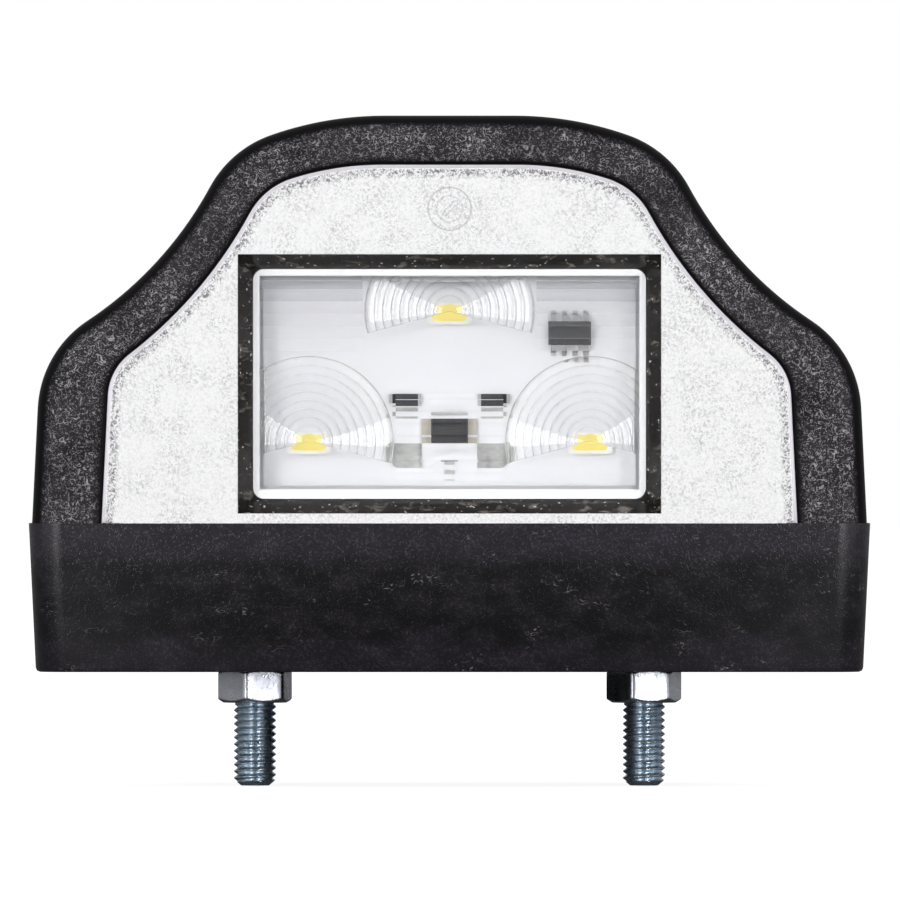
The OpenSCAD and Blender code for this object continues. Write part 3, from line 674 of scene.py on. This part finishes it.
def fan_plastic(name, x, z, strength):
    """Clear plastic with the painted shade of a fan's rings, in grey."""
    material, tree, mix, output = clear_plastic(name, CLEAR)
    hair = grouped(tree, HAIR, Vector=place(tree), Scale=1300.0, Width=0.3)["Mark"]
    grain = times(tree, plus(tree, 0.75, times(tree, hair, 0.6)), strength)
    grey = grouped(tree, RINGS, Vector=place_mm(tree, x, z), Grain=grain)["Grey"]
    paint_prism_shade(tree, mix, output, grey, (0.25, 0.25, 0.28, 1))
    return material


def step_plastic():
    """Clear plastic with the steps' grey bands of painted shade, for the darker view that the steps' prisms
    bend in.

    t = fract(d / pitch) at a distance d below the top greys each step to its lower edge, and the
    amount falls from the first two steps to the last.
    """
    material, tree, mix, output = clear_plastic("optic_steps", CLEAR)
    spot = add(tree, "SeparateXYZ", Vector=place_mm(tree, 0, OPENING_HIGH - SLIP)).outputs["Z"]
    down = times(tree, spot, -1.0)
    t = arith(tree, "FRACT", arith(tree, "DIVIDE", down, STEP_PITCH))
    first = smooth_step(tree, down, 2 * STEP_PITCH - 0.1, 2 * STEP_PITCH, 0.15, 0.0)
    rest = smooth_step(tree, down, STEP_PITCH, STEP_COUNT * STEP_PITCH, 0.24, 0.1)
    amount = plus(tree, first, rest)
    share = times(tree, amount, plus(tree, 0.25, times(tree, t, 0.75)))
    paint_prism_shade(tree, mix, output, share, (0.3, 0.3, 0.33, 1))
    return material


def plain(name, colour, other, scale, rough, metal=0.0, bump=0.0, specular=0.5):
    """A colour that wanders to another by a noise, with its roughness, and a fine bump."""
    material, tree, shader, _ = new_material(name)
    made = add(tree, "TexNoise", Vector=place(tree), Scale=scale, Detail=4.0, Roughness=0.6)
    drift = made.outputs["Fac"]
    tree.links.new(blend(tree, drift, (*colour, 1), (*other, 1)), shader.inputs["Base Color"])
    spread = add(tree, "MapRange", Value=drift, To_Min=rough - ROUGH_SPREAD, To_Max=rough + ROUGH_SPREAD)
    tree.links.new(spread.outputs["Result"], shader.inputs["Roughness"])
    set_shader(shader, Metallic=metal, Specular_IOR_Level=specular)
    if bump:
        bumpy(tree, shader, drift, bump)
    return material


def tray_plastic():
    """Glossy black plastic, uneven, with brown-grey patches of painted reflection and a few bright specks."""
    material, tree, shader, _ = new_material("tray_black")
    dots = grouped(tree, SPECKS, Vector=place(tree), Scale=2600.0, Level=0.77)["Mark"]
    lumps = noise(tree, place(tree), 260.0, 2.0)
    # The brown-grey patches are painted reflection of the lit interior in the tray's walls.
    painted_reflection = smooth_step(tree, noise(tree, place(tree, (1, 1, 2.5)), 420.0, 3.0, 1.0), 0.56, 0.75)
    ground = blend(tree, lumps, (0.002, 0.002, 0.002, 1), (0.018, 0.015, 0.012, 1))
    ground = blend(tree, painted_reflection, ground, (0.16, 0.14, 0.12, 1))
    colour = blend(tree, times(tree, dots, 0.8), ground, (0.7, 0.68, 0.64, 1))
    tree.links.new(colour, shader.inputs["Base Color"])
    bumpy(tree, shader, lumps, 0.0001)
    set_shader(shader, Roughness=0.14, Specular_IOR_Level=0.18)
    return material


CLEAR = (0.995, 0.997, 1.0, 1)
ROUGH_SPREAD = 0.1
hood_black = hood_plastic()
base_black = base_plastic()
field_white = lens_field()
rim_grey = plain("lens_rim", (0.62, 0.58, 0.66), (0.8, 0.78, 0.83), 900.0, 0.25)
window_clear = clear_plastic("window_clear", CLEAR)[0]
optic_clear = clear_plastic("optic_clear", CLEAR)[0]
fan_looks = {name: fan_plastic("optic_fan_" + name, *FAN_PLACES[name], strength)
             for name, strength in (("left", 1.0), ("right", 1.0), ("top", 1.3))}
optic_steps = step_plastic()
tray_black = tray_plastic()
frame_white = plain("frame_white", (0.95, 0.95, 0.96), (0.91, 0.91, 0.93), 300.0, 0.2, bump=0.00001)
board_white = plain("board_white", (0.67, 0.665, 0.68), (0.64, 0.64, 0.66), 200.0, 0.4, bump=0.00001)
led_white = plain("led_white", (0.76, 0.75, 0.71), (0.72, 0.71, 0.64), 900.0, 0.45)
phosphor_yellow = plain("phosphor_yellow", (0.8, 0.64, 0.12), (0.8, 0.7, 0.22), 1500.0, 0.5, bump=0.00001)
chip_black = plain("chip_black", (0.004, 0.004, 0.005), (0.022, 0.021, 0.025), 2500.0, 0.55,
                   bump=0.00002, specular=0.2)
tinned = plain("tinned_metal", (0.35, 0.35, 0.37), (0.6, 0.58, 0.56), 900.0, 0.3, metal=1.0)
tan_metal = plain("terminal_tan", (0.34, 0.31, 0.26), (0.46, 0.43, 0.37), 700.0, 0.4, metal=0.6)
solder_grey = plain("solder_grey", (0.1, 0.1, 0.095), (0.62, 0.62, 0.6), 600.0, 0.35, metal=0.5, bump=0.00008)
zinc_stud = plain("zinc_stud", (0.56, 0.66, 0.76), (0.68, 0.77, 0.85), 600.0, 0.28, metal=1.0, bump=0.00002)
zinc_nut = plain("zinc_nut", (0.56, 0.58, 0.65), (0.68, 0.7, 0.77), 600.0, 0.28, metal=1.0, bump=0.00012)
rubber = plain("grommet_rubber", (0.02, 0.02, 0.02), (0.04, 0.04, 0.04), 800.0, 0.7, bump=0.00002)

NODE_LOOKS = {
    "module_tray": tray_black, "module_frame": frame_white, "circuit_board": board_white,
    "led_left": led_white, "led_right": led_white, "led_top": led_white,
    "phosphor_left": phosphor_yellow, "phosphor_right": phosphor_yellow, "phosphor_top": phosphor_yellow,
    "driver_chip": chip_black, "driver_chip_leads": tinned, "diode": chip_black,
    "diode_terminals": tan_metal, "resistor_left": chip_black, "resistor_right": chip_black,
    "resistor_caps": tinned, "solder_joint_left": solder_grey, "solder_joint_right": solder_grey,
    "contact_pads": solder_grey, "cable_grommet": rubber,
}
for node_name, look in NODE_LOOKS.items():
    node_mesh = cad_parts[node_name].data
    node_mesh.materials.clear()
    node_mesh.materials.append(look)


# Hood

def hood_fall(angles, inset):
    """Rows from the level part to the foot of the rear.

    y = start + length * sin(a) ^ (2 / p), the height's share is cos(a) ^ (2 / p), and the plan
    narrows by w - r + sqrt(r^2 - t^2) where it turns the corner of radius r.
    """
    start = HOOD_FRONT + HOOD_LEVEL_D
    points = hood_outline(inset)
    w = HOOD_W / 2 - inset
    r = HOOD_CORNER_R - inset
    rows = []
    for a in angles:
        y = start + (HOOD_REAR - inset - start) * math.sin(a) ** (2 / FALL_POWER)
        turn = max(0.0, y - (HOOD_REAR - inset - r))
        narrow = (w - r + math.sqrt(max(0.0, r * r - turn * turn))) / w
        lower = max(0.0, math.cos(a)) ** (2 / FALL_POWER)
        rows.append(upright(points, y, narrow, lower))
    return rows


def hood_skin():
    """The whole shell as one closed loop of rows: front band, rounded edge, fall, and back inside.

    The rounded edge lies r (1 - cos a) behind the front with an inset of r (1 - sin a), for an
    angle a from 0 to 90 degrees, and the inside follows the same fall, a wall's width in.
    """
    mouth = lens_outline(-LENS_GAP)
    rows = [upright(mouth, LENS_BACK)]
    grain = [0.0]
    for a in np.radians(np.linspace(0, 90, 5)):
        rows.append(upright(lens_outline(-LENS_GAP - MOUTH_ROUND * (1 - math.cos(a))),
                            HOOD_FRONT + MOUTH_ROUND * (1 - math.sin(a))))
        grain.append(0.0)
    inner_edge = lens_outline(-LENS_GAP - MOUTH_ROUND)
    outer_edge = hood_outline(HOOD_EDGE_R)
    for share in np.linspace(0, 1, 9)[1:]:
        rows.append(upright(inner_edge * (1 - share) + outer_edge * share, HOOD_FRONT))
        grain.append(min(1.0, share * 5))
    # Over the rounded edge the grain, and with it its painted glints, fades out from EDGE_SHINE.
    for a in np.radians(np.linspace(0, 90, 15)[1:]):
        rows.append(upright(hood_outline(HOOD_EDGE_R * (1 - math.sin(a))),
                            HOOD_FRONT + HOOD_EDGE_R * (1 - math.cos(a))))
        grain.append(min(1.0, max(0.0, (EDGE_SHINE - math.sin(a)) / SHINE_FADE)))
    front_rows = len(rows)
    angles = np.radians(np.linspace(0, 90, FALL_ROWS))
    rows += hood_fall(angles, 0)
    grain += [0.4 * min(1.0, k / 6) for k in range(FALL_ROWS)]
    lip = lens_outline(LIP_W)
    lip_back = HOOD_FRONT + HOOD_FRONT_T
    path = [upright(lip, LENS_BACK), upright(lip, lip_back), upright(hood_outline(HOOD_WALL), lip_back)]
    inner = []
    for share in np.linspace(0, 2, front_rows):
        k = min(1, int(share))
        inner.append(path[k] * (1 - (share - k)) + path[k + 1] * (share - k))
    inner += hood_fall(angles, HOOD_WALL)
    rows = rows + inner[::-1]
    grain = grain + [0.0] * len(inner)
    count = len(rows)
    cols = len(rows[0])
    points = np.concatenate(rows)
    faces = quads(count, cols, wrap_rows=True)
    half = count // 2
    k = np.arange(half - 1)
    foot = np.stack([k * cols, (count - 1 - k) * cols, (count - 2 - k) * cols, (k + 1) * cols], 1)
    other = np.stack([k * cols, (k + 1) * cols, (count - 2 - k) * cols, (count - 1 - k) * cols], 1) + cols - 1
    faces = np.concatenate([faces, foot, other])
    make_piece("hood_skin", points, faces, [hood_black], "hood_cover", 40,
               grain=np.repeat(grain, cols))


# Lens

def polar(points, angles, middle):
    """Where rays from the middle at the given angles meet a loop that goes round it once."""
    rel = points - middle
    turn = np.mod(np.arctan2(rel[:, 1], rel[:, 0]), 2 * np.pi)
    order = np.argsort(turn)
    turn, rel = turn[order], rel[order]
    t = np.concatenate([turn - 2 * np.pi, turn, turn + 2 * np.pi])
    loop = np.concatenate([rel, rel, rel])
    return np.stack([np.interp(angles, t, loop[:, 0]), np.interp(angles, t, loop[:, 1])], 1) + middle


def lens_loop(inset):
    """The lens's outline closed along its foot, as one loop of (x, z) above the base."""
    points = lens_outline(inset)
    x = np.linspace(points[-1, 0], points[0, 0], LENS_FOOT_STEPS)[1:-1]
    return np.concatenate([points, np.stack([x, np.zeros(len(x))], 1)])


def rectangle_loop(w, h, middle, angles):
    """Where rays at the given angles leave a rectangle: the nearer of its two pairs of sides."""
    reach = np.minimum(w / 2 / np.maximum(np.abs(np.cos(angles)), 1e-9),
                       h / 2 / np.maximum(np.abs(np.sin(angles)), 1e-9))
    return np.stack([reach * np.cos(angles), reach * np.sin(angles)], 1) + middle


def outside_of(window, points, middle, gap):
    """Points moved out along their rays, where they lie less than a gap beyond the window."""
    ray = points - middle
    reach = np.linalg.norm(ray, axis=1)
    least = np.linalg.norm(window - middle, axis=1) + gap
    return middle + ray * (np.maximum(reach, least) / reach)[:, None]


def lens_skin():
    """Closed plate: side, rounded edge, bevel, grained field, clear window with a pocket behind.

    The bevel stands proud by sin(share * pi / 2) of its height, and its painted shade, carried by
    the point value grain, fades as 1 - share ^ 2. The field's rows run evenly from the bevel to the window.
    """
    middle = np.array([0.0, WINDOW_MID - BASE_H])
    rel = lens_loop(0.0) - middle
    corner = math.atan2(WINDOW_H / 2, WINDOW_W / 2)
    corners = np.array([corner, np.pi - corner, np.pi + corner, 2 * np.pi - corner])
    angles = np.sort(np.concatenate([np.mod(np.arctan2(rel[:, 1], rel[:, 0]), 2 * np.pi), corners]))
    angles = angles[np.concatenate([[True], np.diff(angles) > 1e-6])]
    window = rectangle_loop(WINDOW_W, WINDOW_H, middle, angles)
    side_end = HOOD_FRONT + LENS_RIM_SET
    rim_rise = LENS_RIM_H + LENS_RIM_SET
    levels = [(0.0, LENS_BACK, 0, 0.0), (0.0, side_end, 0, 0.0)]
    for a in np.radians(np.linspace(0, 90, 6)[1:]):
        levels.append((LENS_RIM_W * (1 - math.cos(a)), side_end - rim_rise * math.sin(a), 0, 0.0))
    for share in np.linspace(0, 1, 7)[1:]:
        inset = LENS_RIM_W + (LENS_BEVEL - LENS_RIM_W) * share
        proud = LENS_RIM_H + (LENS_PROUD - LENS_RIM_H) * math.sin(share * math.pi / 2)
        levels.append((inset, HOOD_FRONT - proud, 1, 1.0 - share ** 2))
    rows, kinds, grain = [], [], []
    for inset, y, kind, value in levels:
        loop = polar(lens_loop(inset), angles, middle)
        inner = outside_of(window, loop, middle, WINDOW_MARGIN * (1 + 2 * value))
        rows.append(upright(inner, y))
        kinds.append(kind)
        grain.append(value)
    for share in np.linspace(0, 1, 13)[1:]:
        rows.append(upright(inner * (1 - share) + window * share, LENS_FRONT))
        kinds.append(1)
        grain.append(0.0)
    front_last = len(rows) - 1
    back = [upright(window, LENS_BACK - WINDOW_POCKET), upright(window, LENS_BACK)]
    outer = polar(lens_loop(0.0), angles, middle)
    back.append(upright((window + outer) / 2, LENS_BACK))
    cols = len(angles)
    back_rows = len(back)
    hub_front = np.array([[0.0, LENS_FRONT, WINDOW_MID]])
    hub_back = np.array([[0.0, LENS_BACK - WINDOW_POCKET, WINDOW_MID]])
    all_rows = rows + back
    points = np.concatenate(all_rows + [hub_front, hub_back])
    faces = [quads(len(rows), cols, wrap_cols=True)]
    face_kinds = [np.repeat(np.array(kinds[1:]), cols)]
    start = len(rows) * cols
    faces.append(quads(back_rows, cols, wrap_cols=True) + start)
    face_kinds.append(np.ones((back_rows - 1) * cols, int))
    c = np.arange(cols)
    n = (c + 1) % cols
    last = start + (back_rows - 1) * cols
    faces.append(np.stack([last + c, c, n, last + n], 1))
    face_kinds.append(np.ones(cols, int))
    flat = list(np.concatenate(faces))
    hub = len(points) - 2
    flat += [*spokes(front_last * cols, hub, cols), *spokes(start, hub + 1, cols)[:, ::-1]]
    face_kinds.append(np.full(2 * cols, 2))
    values = np.concatenate([np.repeat(grain, cols), np.zeros(back_rows * cols + 2)])
    make_piece("lens_skin", points, flat, [rim_grey, field_white, window_clear],
               "lens_cover", 30, face_material=np.concatenate(face_kinds), grain=values)


# Optic plate

def box_mesh(x0, x1, y0, y1, z0, z1):
    """Eight corners and six sides of a box, in mm."""
    points = [(x, y, z) for x in (x0, x1) for y in (y0, y1) for z in (z0, z1)]
    faces = [(0, 1, 3, 2), (4, 6, 7, 5), (0, 4, 5, 1), (2, 3, 7, 6), (0, 2, 6, 4), (1, 5, 7, 3)]
    return points, faces


def fan_mesh(x, z, back):
    """Fan of prism rings: a sawtooth profile carried round an arc.

    The profile rises by RING_H times the ring's width to each ring's outer edge and drops there.
    """
    rings = math.ceil((FAN_R - FAN_DISC_R) / RING_PITCH)
    edges = np.minimum(FAN_DISC_R + RING_PITCH * np.arange(rings + 1), FAN_R)
    profile = [(0.0, back), (0.0, OPTIC_FRONT), (FAN_DISC_R, OPTIC_FRONT)]
    for low, high in zip(edges[:-1], edges[1:]):
        if low > FAN_DISC_R:
            profile.append((low, OPTIC_FRONT))
        profile.append((high - TOOTH_LEAN, OPTIC_FRONT - RING_H * (high - low)))
    profile += [(FAN_R, OPTIC_FRONT), (FAN_R, back)]
    profile = np.array(profile)
    turn = np.radians(np.linspace(-FAN_DROP, 180 + FAN_DROP, FAN_STEPS))
    r, y = profile[:, 0], profile[:, 1]
    points = np.stack([x + np.outer(np.cos(turn), r), np.broadcast_to(y, (len(turn), len(y))),
                       z + np.outer(np.sin(turn), r)], -1).reshape(-1, 3)
    cols = len(profile)
    last = (len(turn) - 1) * cols
    ends = [range(cols), range(last, last + cols)[::-1]]
    return points, [*quads(len(turn), cols, wrap_cols=True), *ends]


def loose_solid(name, shape, look):
    """A closed solid that is no piece yet, with its doubles merged and its faces turned outwards."""
    made = new_mesh(name, *shape, [look])
    point_out(made, merge=True)
    return in_scene(name, made)


def combine(solid, tool, operation):
    """Gives a solid the mesh of its exact union or intersection with a tool, which is used up."""
    change = solid.modifiers.new("combine", "BOOLEAN")
    change.operation = operation
    change.solver = "EXACT"
    change.material_mode = "TRANSFER"
    change.object = tool
    bpy.context.view_layer.update()
    shape = solid.evaluated_get(bpy.context.evaluated_depsgraph_get())
    made = bpy.data.meshes.new_from_object(shape)
    solid.modifiers.clear()
    solid.data = made
    bpy.data.objects.remove(tool)


def ridge_mesh(profile, x0, x1):
    """A profile of (y, z) carried from x0 to x1."""
    n = len(profile)
    points = np.concatenate([np.insert(profile, 0, x, axis=1) for x in (x0, x1)])
    return points, [*quads(2, n, wrap_cols=True), range(n), range(n, 2 * n)[::-1]]


def optic_solid():
    """The clear plate as one solid: a flat slab, and in front of it the fans, steps and bars."""
    w = OPENING_W - 2 * SLIP
    low, high = OPENING_LOW + SLIP, OPENING_HIGH - SLIP
    root = SLAB_FRONT + SLAB_OVERLAP
    block = box_mesh(-w / 2, w / 2, SLAB_FRONT, OPTIC_BACK, low, high)
    plate = loose_solid("optic_plate_clear", block, optic_clear)
    for name, (x, z) in FAN_PLACES.items():
        fan = loose_solid("fan", fan_mesh(x, z, root), fan_looks[name])
        room = box_mesh(-w / 2, w / 2, FRAME_FRONT, SLAB_FRONT + 1, low, high)
        combine(fan, loose_solid("room", room, fan_looks[name]), "INTERSECT")
        combine(plate, fan, "UNION")
    steps = []
    for i in range(STEP_COUNT):
        top = high - i * STEP_PITCH
        proud = STEP_H * (1 - i / STEP_COUNT)
        steps += [(OPTIC_FRONT - proud, top), (OPTIC_FRONT, top - STEP_PITCH + STEP_LEAN)]
    steps = np.array(steps + [(root, high - STEP_COUNT * STEP_PITCH), (root, high)])
    for side in (-1, 1):
        mesh = ridge_mesh(steps, side * (FAN_R + STEP_GAP), side * w / 2)
        combine(plate, loose_solid("steps", mesh, optic_steps), "UNION")
    foot = OPENING_LOW + BAR_LOW
    bars = [(root, foot)]
    for i in range(BAR_COUNT):
        bars += [(OPTIC_FRONT, foot + i * STEP_PITCH), (OPTIC_FRONT - BAR_H, foot + (i + 0.5) * STEP_PITCH)]
    top = foot + BAR_COUNT * STEP_PITCH
    bars = np.array(bars + [(OPTIC_FRONT, top), (root, top)])
    reach = LED_X - FAN_R - STEP_GAP
    combine(plate, loose_solid("bars", ridge_mesh(bars, -reach, reach), optic_clear), "UNION")
    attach(plate, "root")
    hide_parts("optic_plate")


# Studs and nuts

def soft_least(a, b, power):
    """The smaller of two lengths with an eased change: (a^-p + b^-p)^(-1/p)."""
    return (a ** -power + b ** -power) ** (-1 / power)


def hex_reach(turn):
    """Distance to a hexagon's flats at an angle, with its corners eased by a soft minimum."""
    phi = np.mod(turn + np.pi / 6, np.pi / 3) - np.pi / 6
    flat = HEX_FLATS / 2 / np.cos(phi)
    corner = HEX_FLATS / 2 / math.cos(math.pi / 6) - HEX_EASE
    return soft_least(flat, corner, HEX_POWER)


def revolved(profile, turn_steps, shape):
    """Rows of (r, z) turned about Z: (r cos t, r sin t, z), where shape(t, r, z) gives each radius."""
    turn = np.linspace(0, 2 * np.pi, turn_steps, endpoint=False)
    r = np.repeat(profile[:, :1], turn_steps, 1)
    z = np.repeat(profile[:, 1:], turn_steps, 1)
    t = np.broadcast_to(turn, r.shape)
    r = shape(t, r, z)
    return np.stack([r * np.cos(t), r * np.sin(t), z], -1)


def threaded(turn, r, z):
    """Radius of a thread: the least radius plus its depth times a flat-topped triangle wave.

    The wave runs with z / pitch - turn / (2 pi), fades into the shank under the nut, and the
    end is cut by a cone.
    """
    phase = np.mod(z / THREAD_PITCH - turn / (2 * np.pi), 1.0)
    wave = np.clip(THREAD_CREST * (1 - np.abs(2 * phase - 1)), 0, 1)
    cut = STUD_R - THREAD_DEPTH + THREAD_DEPTH * wave
    under = NUT_SEAT - NUT_H
    fade = np.clip((z - (under - THREAD_RUNOUT)) / THREAD_RUNOUT, 0, 1)
    body = cut * (1 - fade) + SHANK_R * fade
    cone = STUD_R - TIP_CHAMFER + (z + STUD_REACH) * TIP_SLOPE
    return np.minimum(body, cone)


def stud_piece(name, side):
    """Threaded stud with a hexagon head inside the base, whose rows are shares of the flats' reach."""
    z = np.append(np.arange(-STUD_REACH, BASE_FLOOR, THREAD_PITCH / THREAD_STEPS), BASE_FLOOR)
    shank = revolved(np.stack([np.full(len(z), STUD_R), z], 1), STUD_SIDES, threaded)
    head_z = BASE_FLOOR + np.array([0, 0, HEAD_CHAMFER, HEAD_H - HEAD_CHAMFER, HEAD_H])
    head = revolved(np.stack([HEAD_SHARES, head_z], 1), STUD_SIDES, lambda t, r, h: r * hex_reach(t))
    rows = np.concatenate([shank, head])
    count, cols = rows.shape[:2]
    points = np.concatenate([rows.reshape(-1, 3), [[0, 0, -STUD_REACH], [0, 0, BASE_FLOOR + HEAD_H]]])
    points[:, 0] += side * STUD_X
    tip = count * cols
    faces = [*quads(count, cols, wrap_cols=True), *spokes(0, tip, cols)[:, ::-1],
             *spokes(tip - cols, tip + 1, cols)]
    make_piece("stud_thread_" + name, points, faces, [zinc_stud], "stud_" + name, 50)


def nut_piece(name, side):
    """Hexagon nut: flats cut by a cone at both ends, and a chamfered bore.

    Rows at NUT_OUTSIDE take the smaller of the flats' reach and the cone's, which grows by a
    slope with the distance from the nearer end. The others keep their radius.
    """
    foot = np.linspace(0.0, NUT_CHAMFER_H, 10)
    level = NUT_CHAMFER_H + 0.2
    z = np.concatenate([[NUT_BORE_CHAMFER, 0.0, 0.0], foot, np.linspace(level, NUT_H - level, 6),
                        NUT_H - foot[::-1], [NUT_H, NUT_H, NUT_H - NUT_BORE_CHAMFER]])
    face = [NUT_BORE_R, *NUT_FACE_R]
    reach = np.concatenate([face, np.full(len(z) - 6, NUT_OUTSIDE), face[::-1]])

    def hexed(t, r, h):
        ends = np.minimum(h, NUT_H - h)
        cone = NUT_CONE_R + NUT_CONE_SLOPE * np.maximum(ends, 0)
        return np.where(r == NUT_OUTSIDE, soft_least(hex_reach(t), cone, NUT_CONE_POWER), r)

    rows = revolved(np.stack([reach, z], 1), NUT_SIDES, hexed)
    count, cols = rows.shape[:2]
    points = rows.reshape(-1, 3)
    a = math.radians(NUT_TURNS[name])
    points = np.stack([points[:, 0] * math.cos(a) - points[:, 1] * math.sin(a) + side * STUD_X,
                       points[:, 0] * math.sin(a) + points[:, 1] * math.cos(a),
                       points[:, 2] + NUT_SEAT - NUT_H], 1)
    faces = quads(count, cols, wrap_rows=True, wrap_cols=True)
    make_piece("nut_hex_" + name, points, faces, [zinc_nut], "nut_" + name, 35)


hood_skin()
lens_skin()
merged_copy("base_tub", "base_housing", base_black, 30)
optic_solid()
for make_fastener in (stud_piece, nut_piece):
    make_fastener("left", -1)
    make_fastener("right", 1)


# Studio

FLOOR = (-6000.0, 6000.0)
CARD_Y = (-18.0, 30.0)
CARD_Z = (-STUD_REACH, -0.5)
SHEET_CORNERS = ((0, 0), (1, 0), (1, 1), (0, 1))
LAMP_AIM = (0, -0.02, 0.03)
CAMERA_LENS = 650.6
CAMERA_SPOT = (0.06, 1900.0, 25.97)


def pale_floor():
    """Pale floor under the studs' tips, which keeps a faint shadow.

    Mirror images show it by its direction from the lamp, where Y is -1 straight to the front:
    dim, with a brighter band on either side of the front, and darkest under the lamp, where a
    painted shadow of the lamp dims it.
    """
    material, tree, shader, output = new_material("pale_floor")
    set_shader(shader, Roughness=0.9, Specular_IOR_Level=0.1)
    path = add(tree, "LightPath")
    pale, dim = (0.85, 0.85, 0.85, 1), (0.16, 0.16, 0.16, 1)
    tree.links.new(blend(tree, path.outputs["Is Glossy Ray"], pale, dim), shader.inputs["Base Color"])
    spot = add(tree, "TexCoord").outputs["Object"]
    flat = add(tree, "VectorMath", {"operation": "MULTIPLY"}, i0=spot, i1=(1, 1, 0))
    way = add(tree, "VectorMath", {"operation": "NORMALIZE"}, i0=flat.outputs[0])
    split = add(tree, "SeparateXYZ", Vector=way.outputs[0])
    beside = smooth_step(tree, split.outputs["Y"], -0.96, -0.9, 0.04, 0.14)
    band = times(tree, smooth_step(tree, split.outputs["Y"], -0.9, -0.86),
                 smooth_step(tree, split.outputs["Y"], -0.76, -0.66, 1.1, 0.0))
    reach = add(tree, "VectorMath", {"operation": "LENGTH"}, i0=flat.outputs[0])
    # Painted shadow of the lamp: the glow that mirror images see is dimmed close under it.
    painted_shadow_factor = smooth_step(tree, reach.outputs["Value"], 0.04, 0.15, 0.1, 1.0)
    mirrored = times(tree, plus(tree, beside, band), painted_shadow_factor)
    mirrored = times(tree, path.outputs["Is Glossy Ray"], mirrored)
    seen = larger(tree, path.outputs["Is Camera Ray"], mirrored)
    seen = larger(tree, seen, path.outputs["Is Transmission Ray"])
    glow = add(tree, "Emission", Color=(1, 1, 1, 1), Strength=times(tree, seen, 0.82))
    both = add(tree, "AddShader", i0=shader.outputs[0], i1=glow.outputs[0])
    tree.links.new(both.outputs[0], output.inputs[0])
    corners = [(FLOOR[i], FLOOR[k], -STUD_REACH) for i, k in SHEET_CORNERS]
    in_scene("floor", new_mesh("floor", corners, [range(4)], [material]))


def soft_box(name, spot, width, height, power):
    """A rectangular lamp at a spot, turned to the lens."""
    data = bpy.data.lights.new(name, "AREA")
    data.shape = "RECTANGLE"
    data.size = width
    data.size_y = height
    data.energy = power
    lamp = in_scene(name, data)
    lamp.location = spot
    lamp.rotation_euler = (Vector(LAMP_AIM) - Vector(spot)).to_track_quat("-Z", "Y").to_euler()


def dark_card():
    """Thin black card on edge between the studs, which only their mirror images show."""
    material, _, shader, _ = new_material("card_black")
    set_shader(shader, Base_Color=(0.004, 0.004, 0.005, 1), Roughness=1.0, Specular_IOR_Level=0.0)
    corners = [(0, CARD_Y[i], CARD_Z[k]) for i, k in SHEET_CORNERS]
    card = in_scene("dark_card", new_mesh("dark_card", corners, [range(4)], [material]))
    for ray in ("camera", "diffuse", "transmission", "shadow"):
        setattr(card, "visible_" + ray, False)


def studio():
    """World that the eye sees white and mirrors show dark in front, and five soft lamps.

    Places and sizes are in metres and powers in watts.
    """
    world = bpy.data.worlds.new("studio")
    bpy.context.scene.world = world
    world.use_nodes = True
    tree = world.node_tree
    tree.nodes.clear()
    path = add(tree, "LightPath")
    way = add(tree, "TexCoord").outputs["Generated"]
    split = add(tree, "SeparateXYZ", Vector=way)
    mirrored = smooth_step(tree, split.outputs["Y"], -0.96, -0.8, 0.04, 0.5)
    glossy = path.outputs["Is Glossy Ray"]
    shown = add(tree, "Mix", {"data_type": "FLOAT"}, i0=glossy, i2=0.3, i3=mirrored)
    level = larger(tree, shown.outputs[0], path.outputs["Is Camera Ray"])
    through = smooth_step(tree, split.outputs["Y"], -0.992, -0.96, 0.08, 0.22)
    passed = times(tree, path.outputs["Is Transmission Ray"], through)
    level = larger(tree, level, passed)
    sky = add(tree, "Background", Color=(1, 1, 1, 1), Strength=level)
    output = add(tree, "OutputWorld")
    tree.links.new(sky.outputs[0], output.inputs[0])
    for name, side in (("left", -1), ("right", 1)):
        soft_box("strip_" + name, (side * 0.49, -1.1, 0.14), 0.14, 0.3, 2.9)
        soft_box("wide_" + name, (side * 0.95, -0.6, 0.3), 0.5, 1.0, 2.4)
    soft_box("lamp_top", (0.0, -0.75, 1.0), 1.2, 0.5, 1.9)


def camera():
    """Long lens, level, 1.9 m in front of the lens's face: 8.56 pixels per mm there."""
    data = bpy.data.cameras.new("camera")
    data.sensor_width = 36.0
    data.lens = CAMERA_LENS
    data.clip_start = 0.05
    data.clip_end = 100.0
    eye = in_scene("camera", data)
    eye.location = (CAMERA_SPOT[0] * MM, (LENS_FRONT - CAMERA_SPOT[1]) * MM, CAMERA_SPOT[2] * MM)
    eye.rotation_euler = (math.radians(90), 0, 0)
    bpy.context.scene.camera = eye


pale_floor()
dark_card()
studio()
camera()
bpy.context.scene.view_settings.view_transform = "Standard"
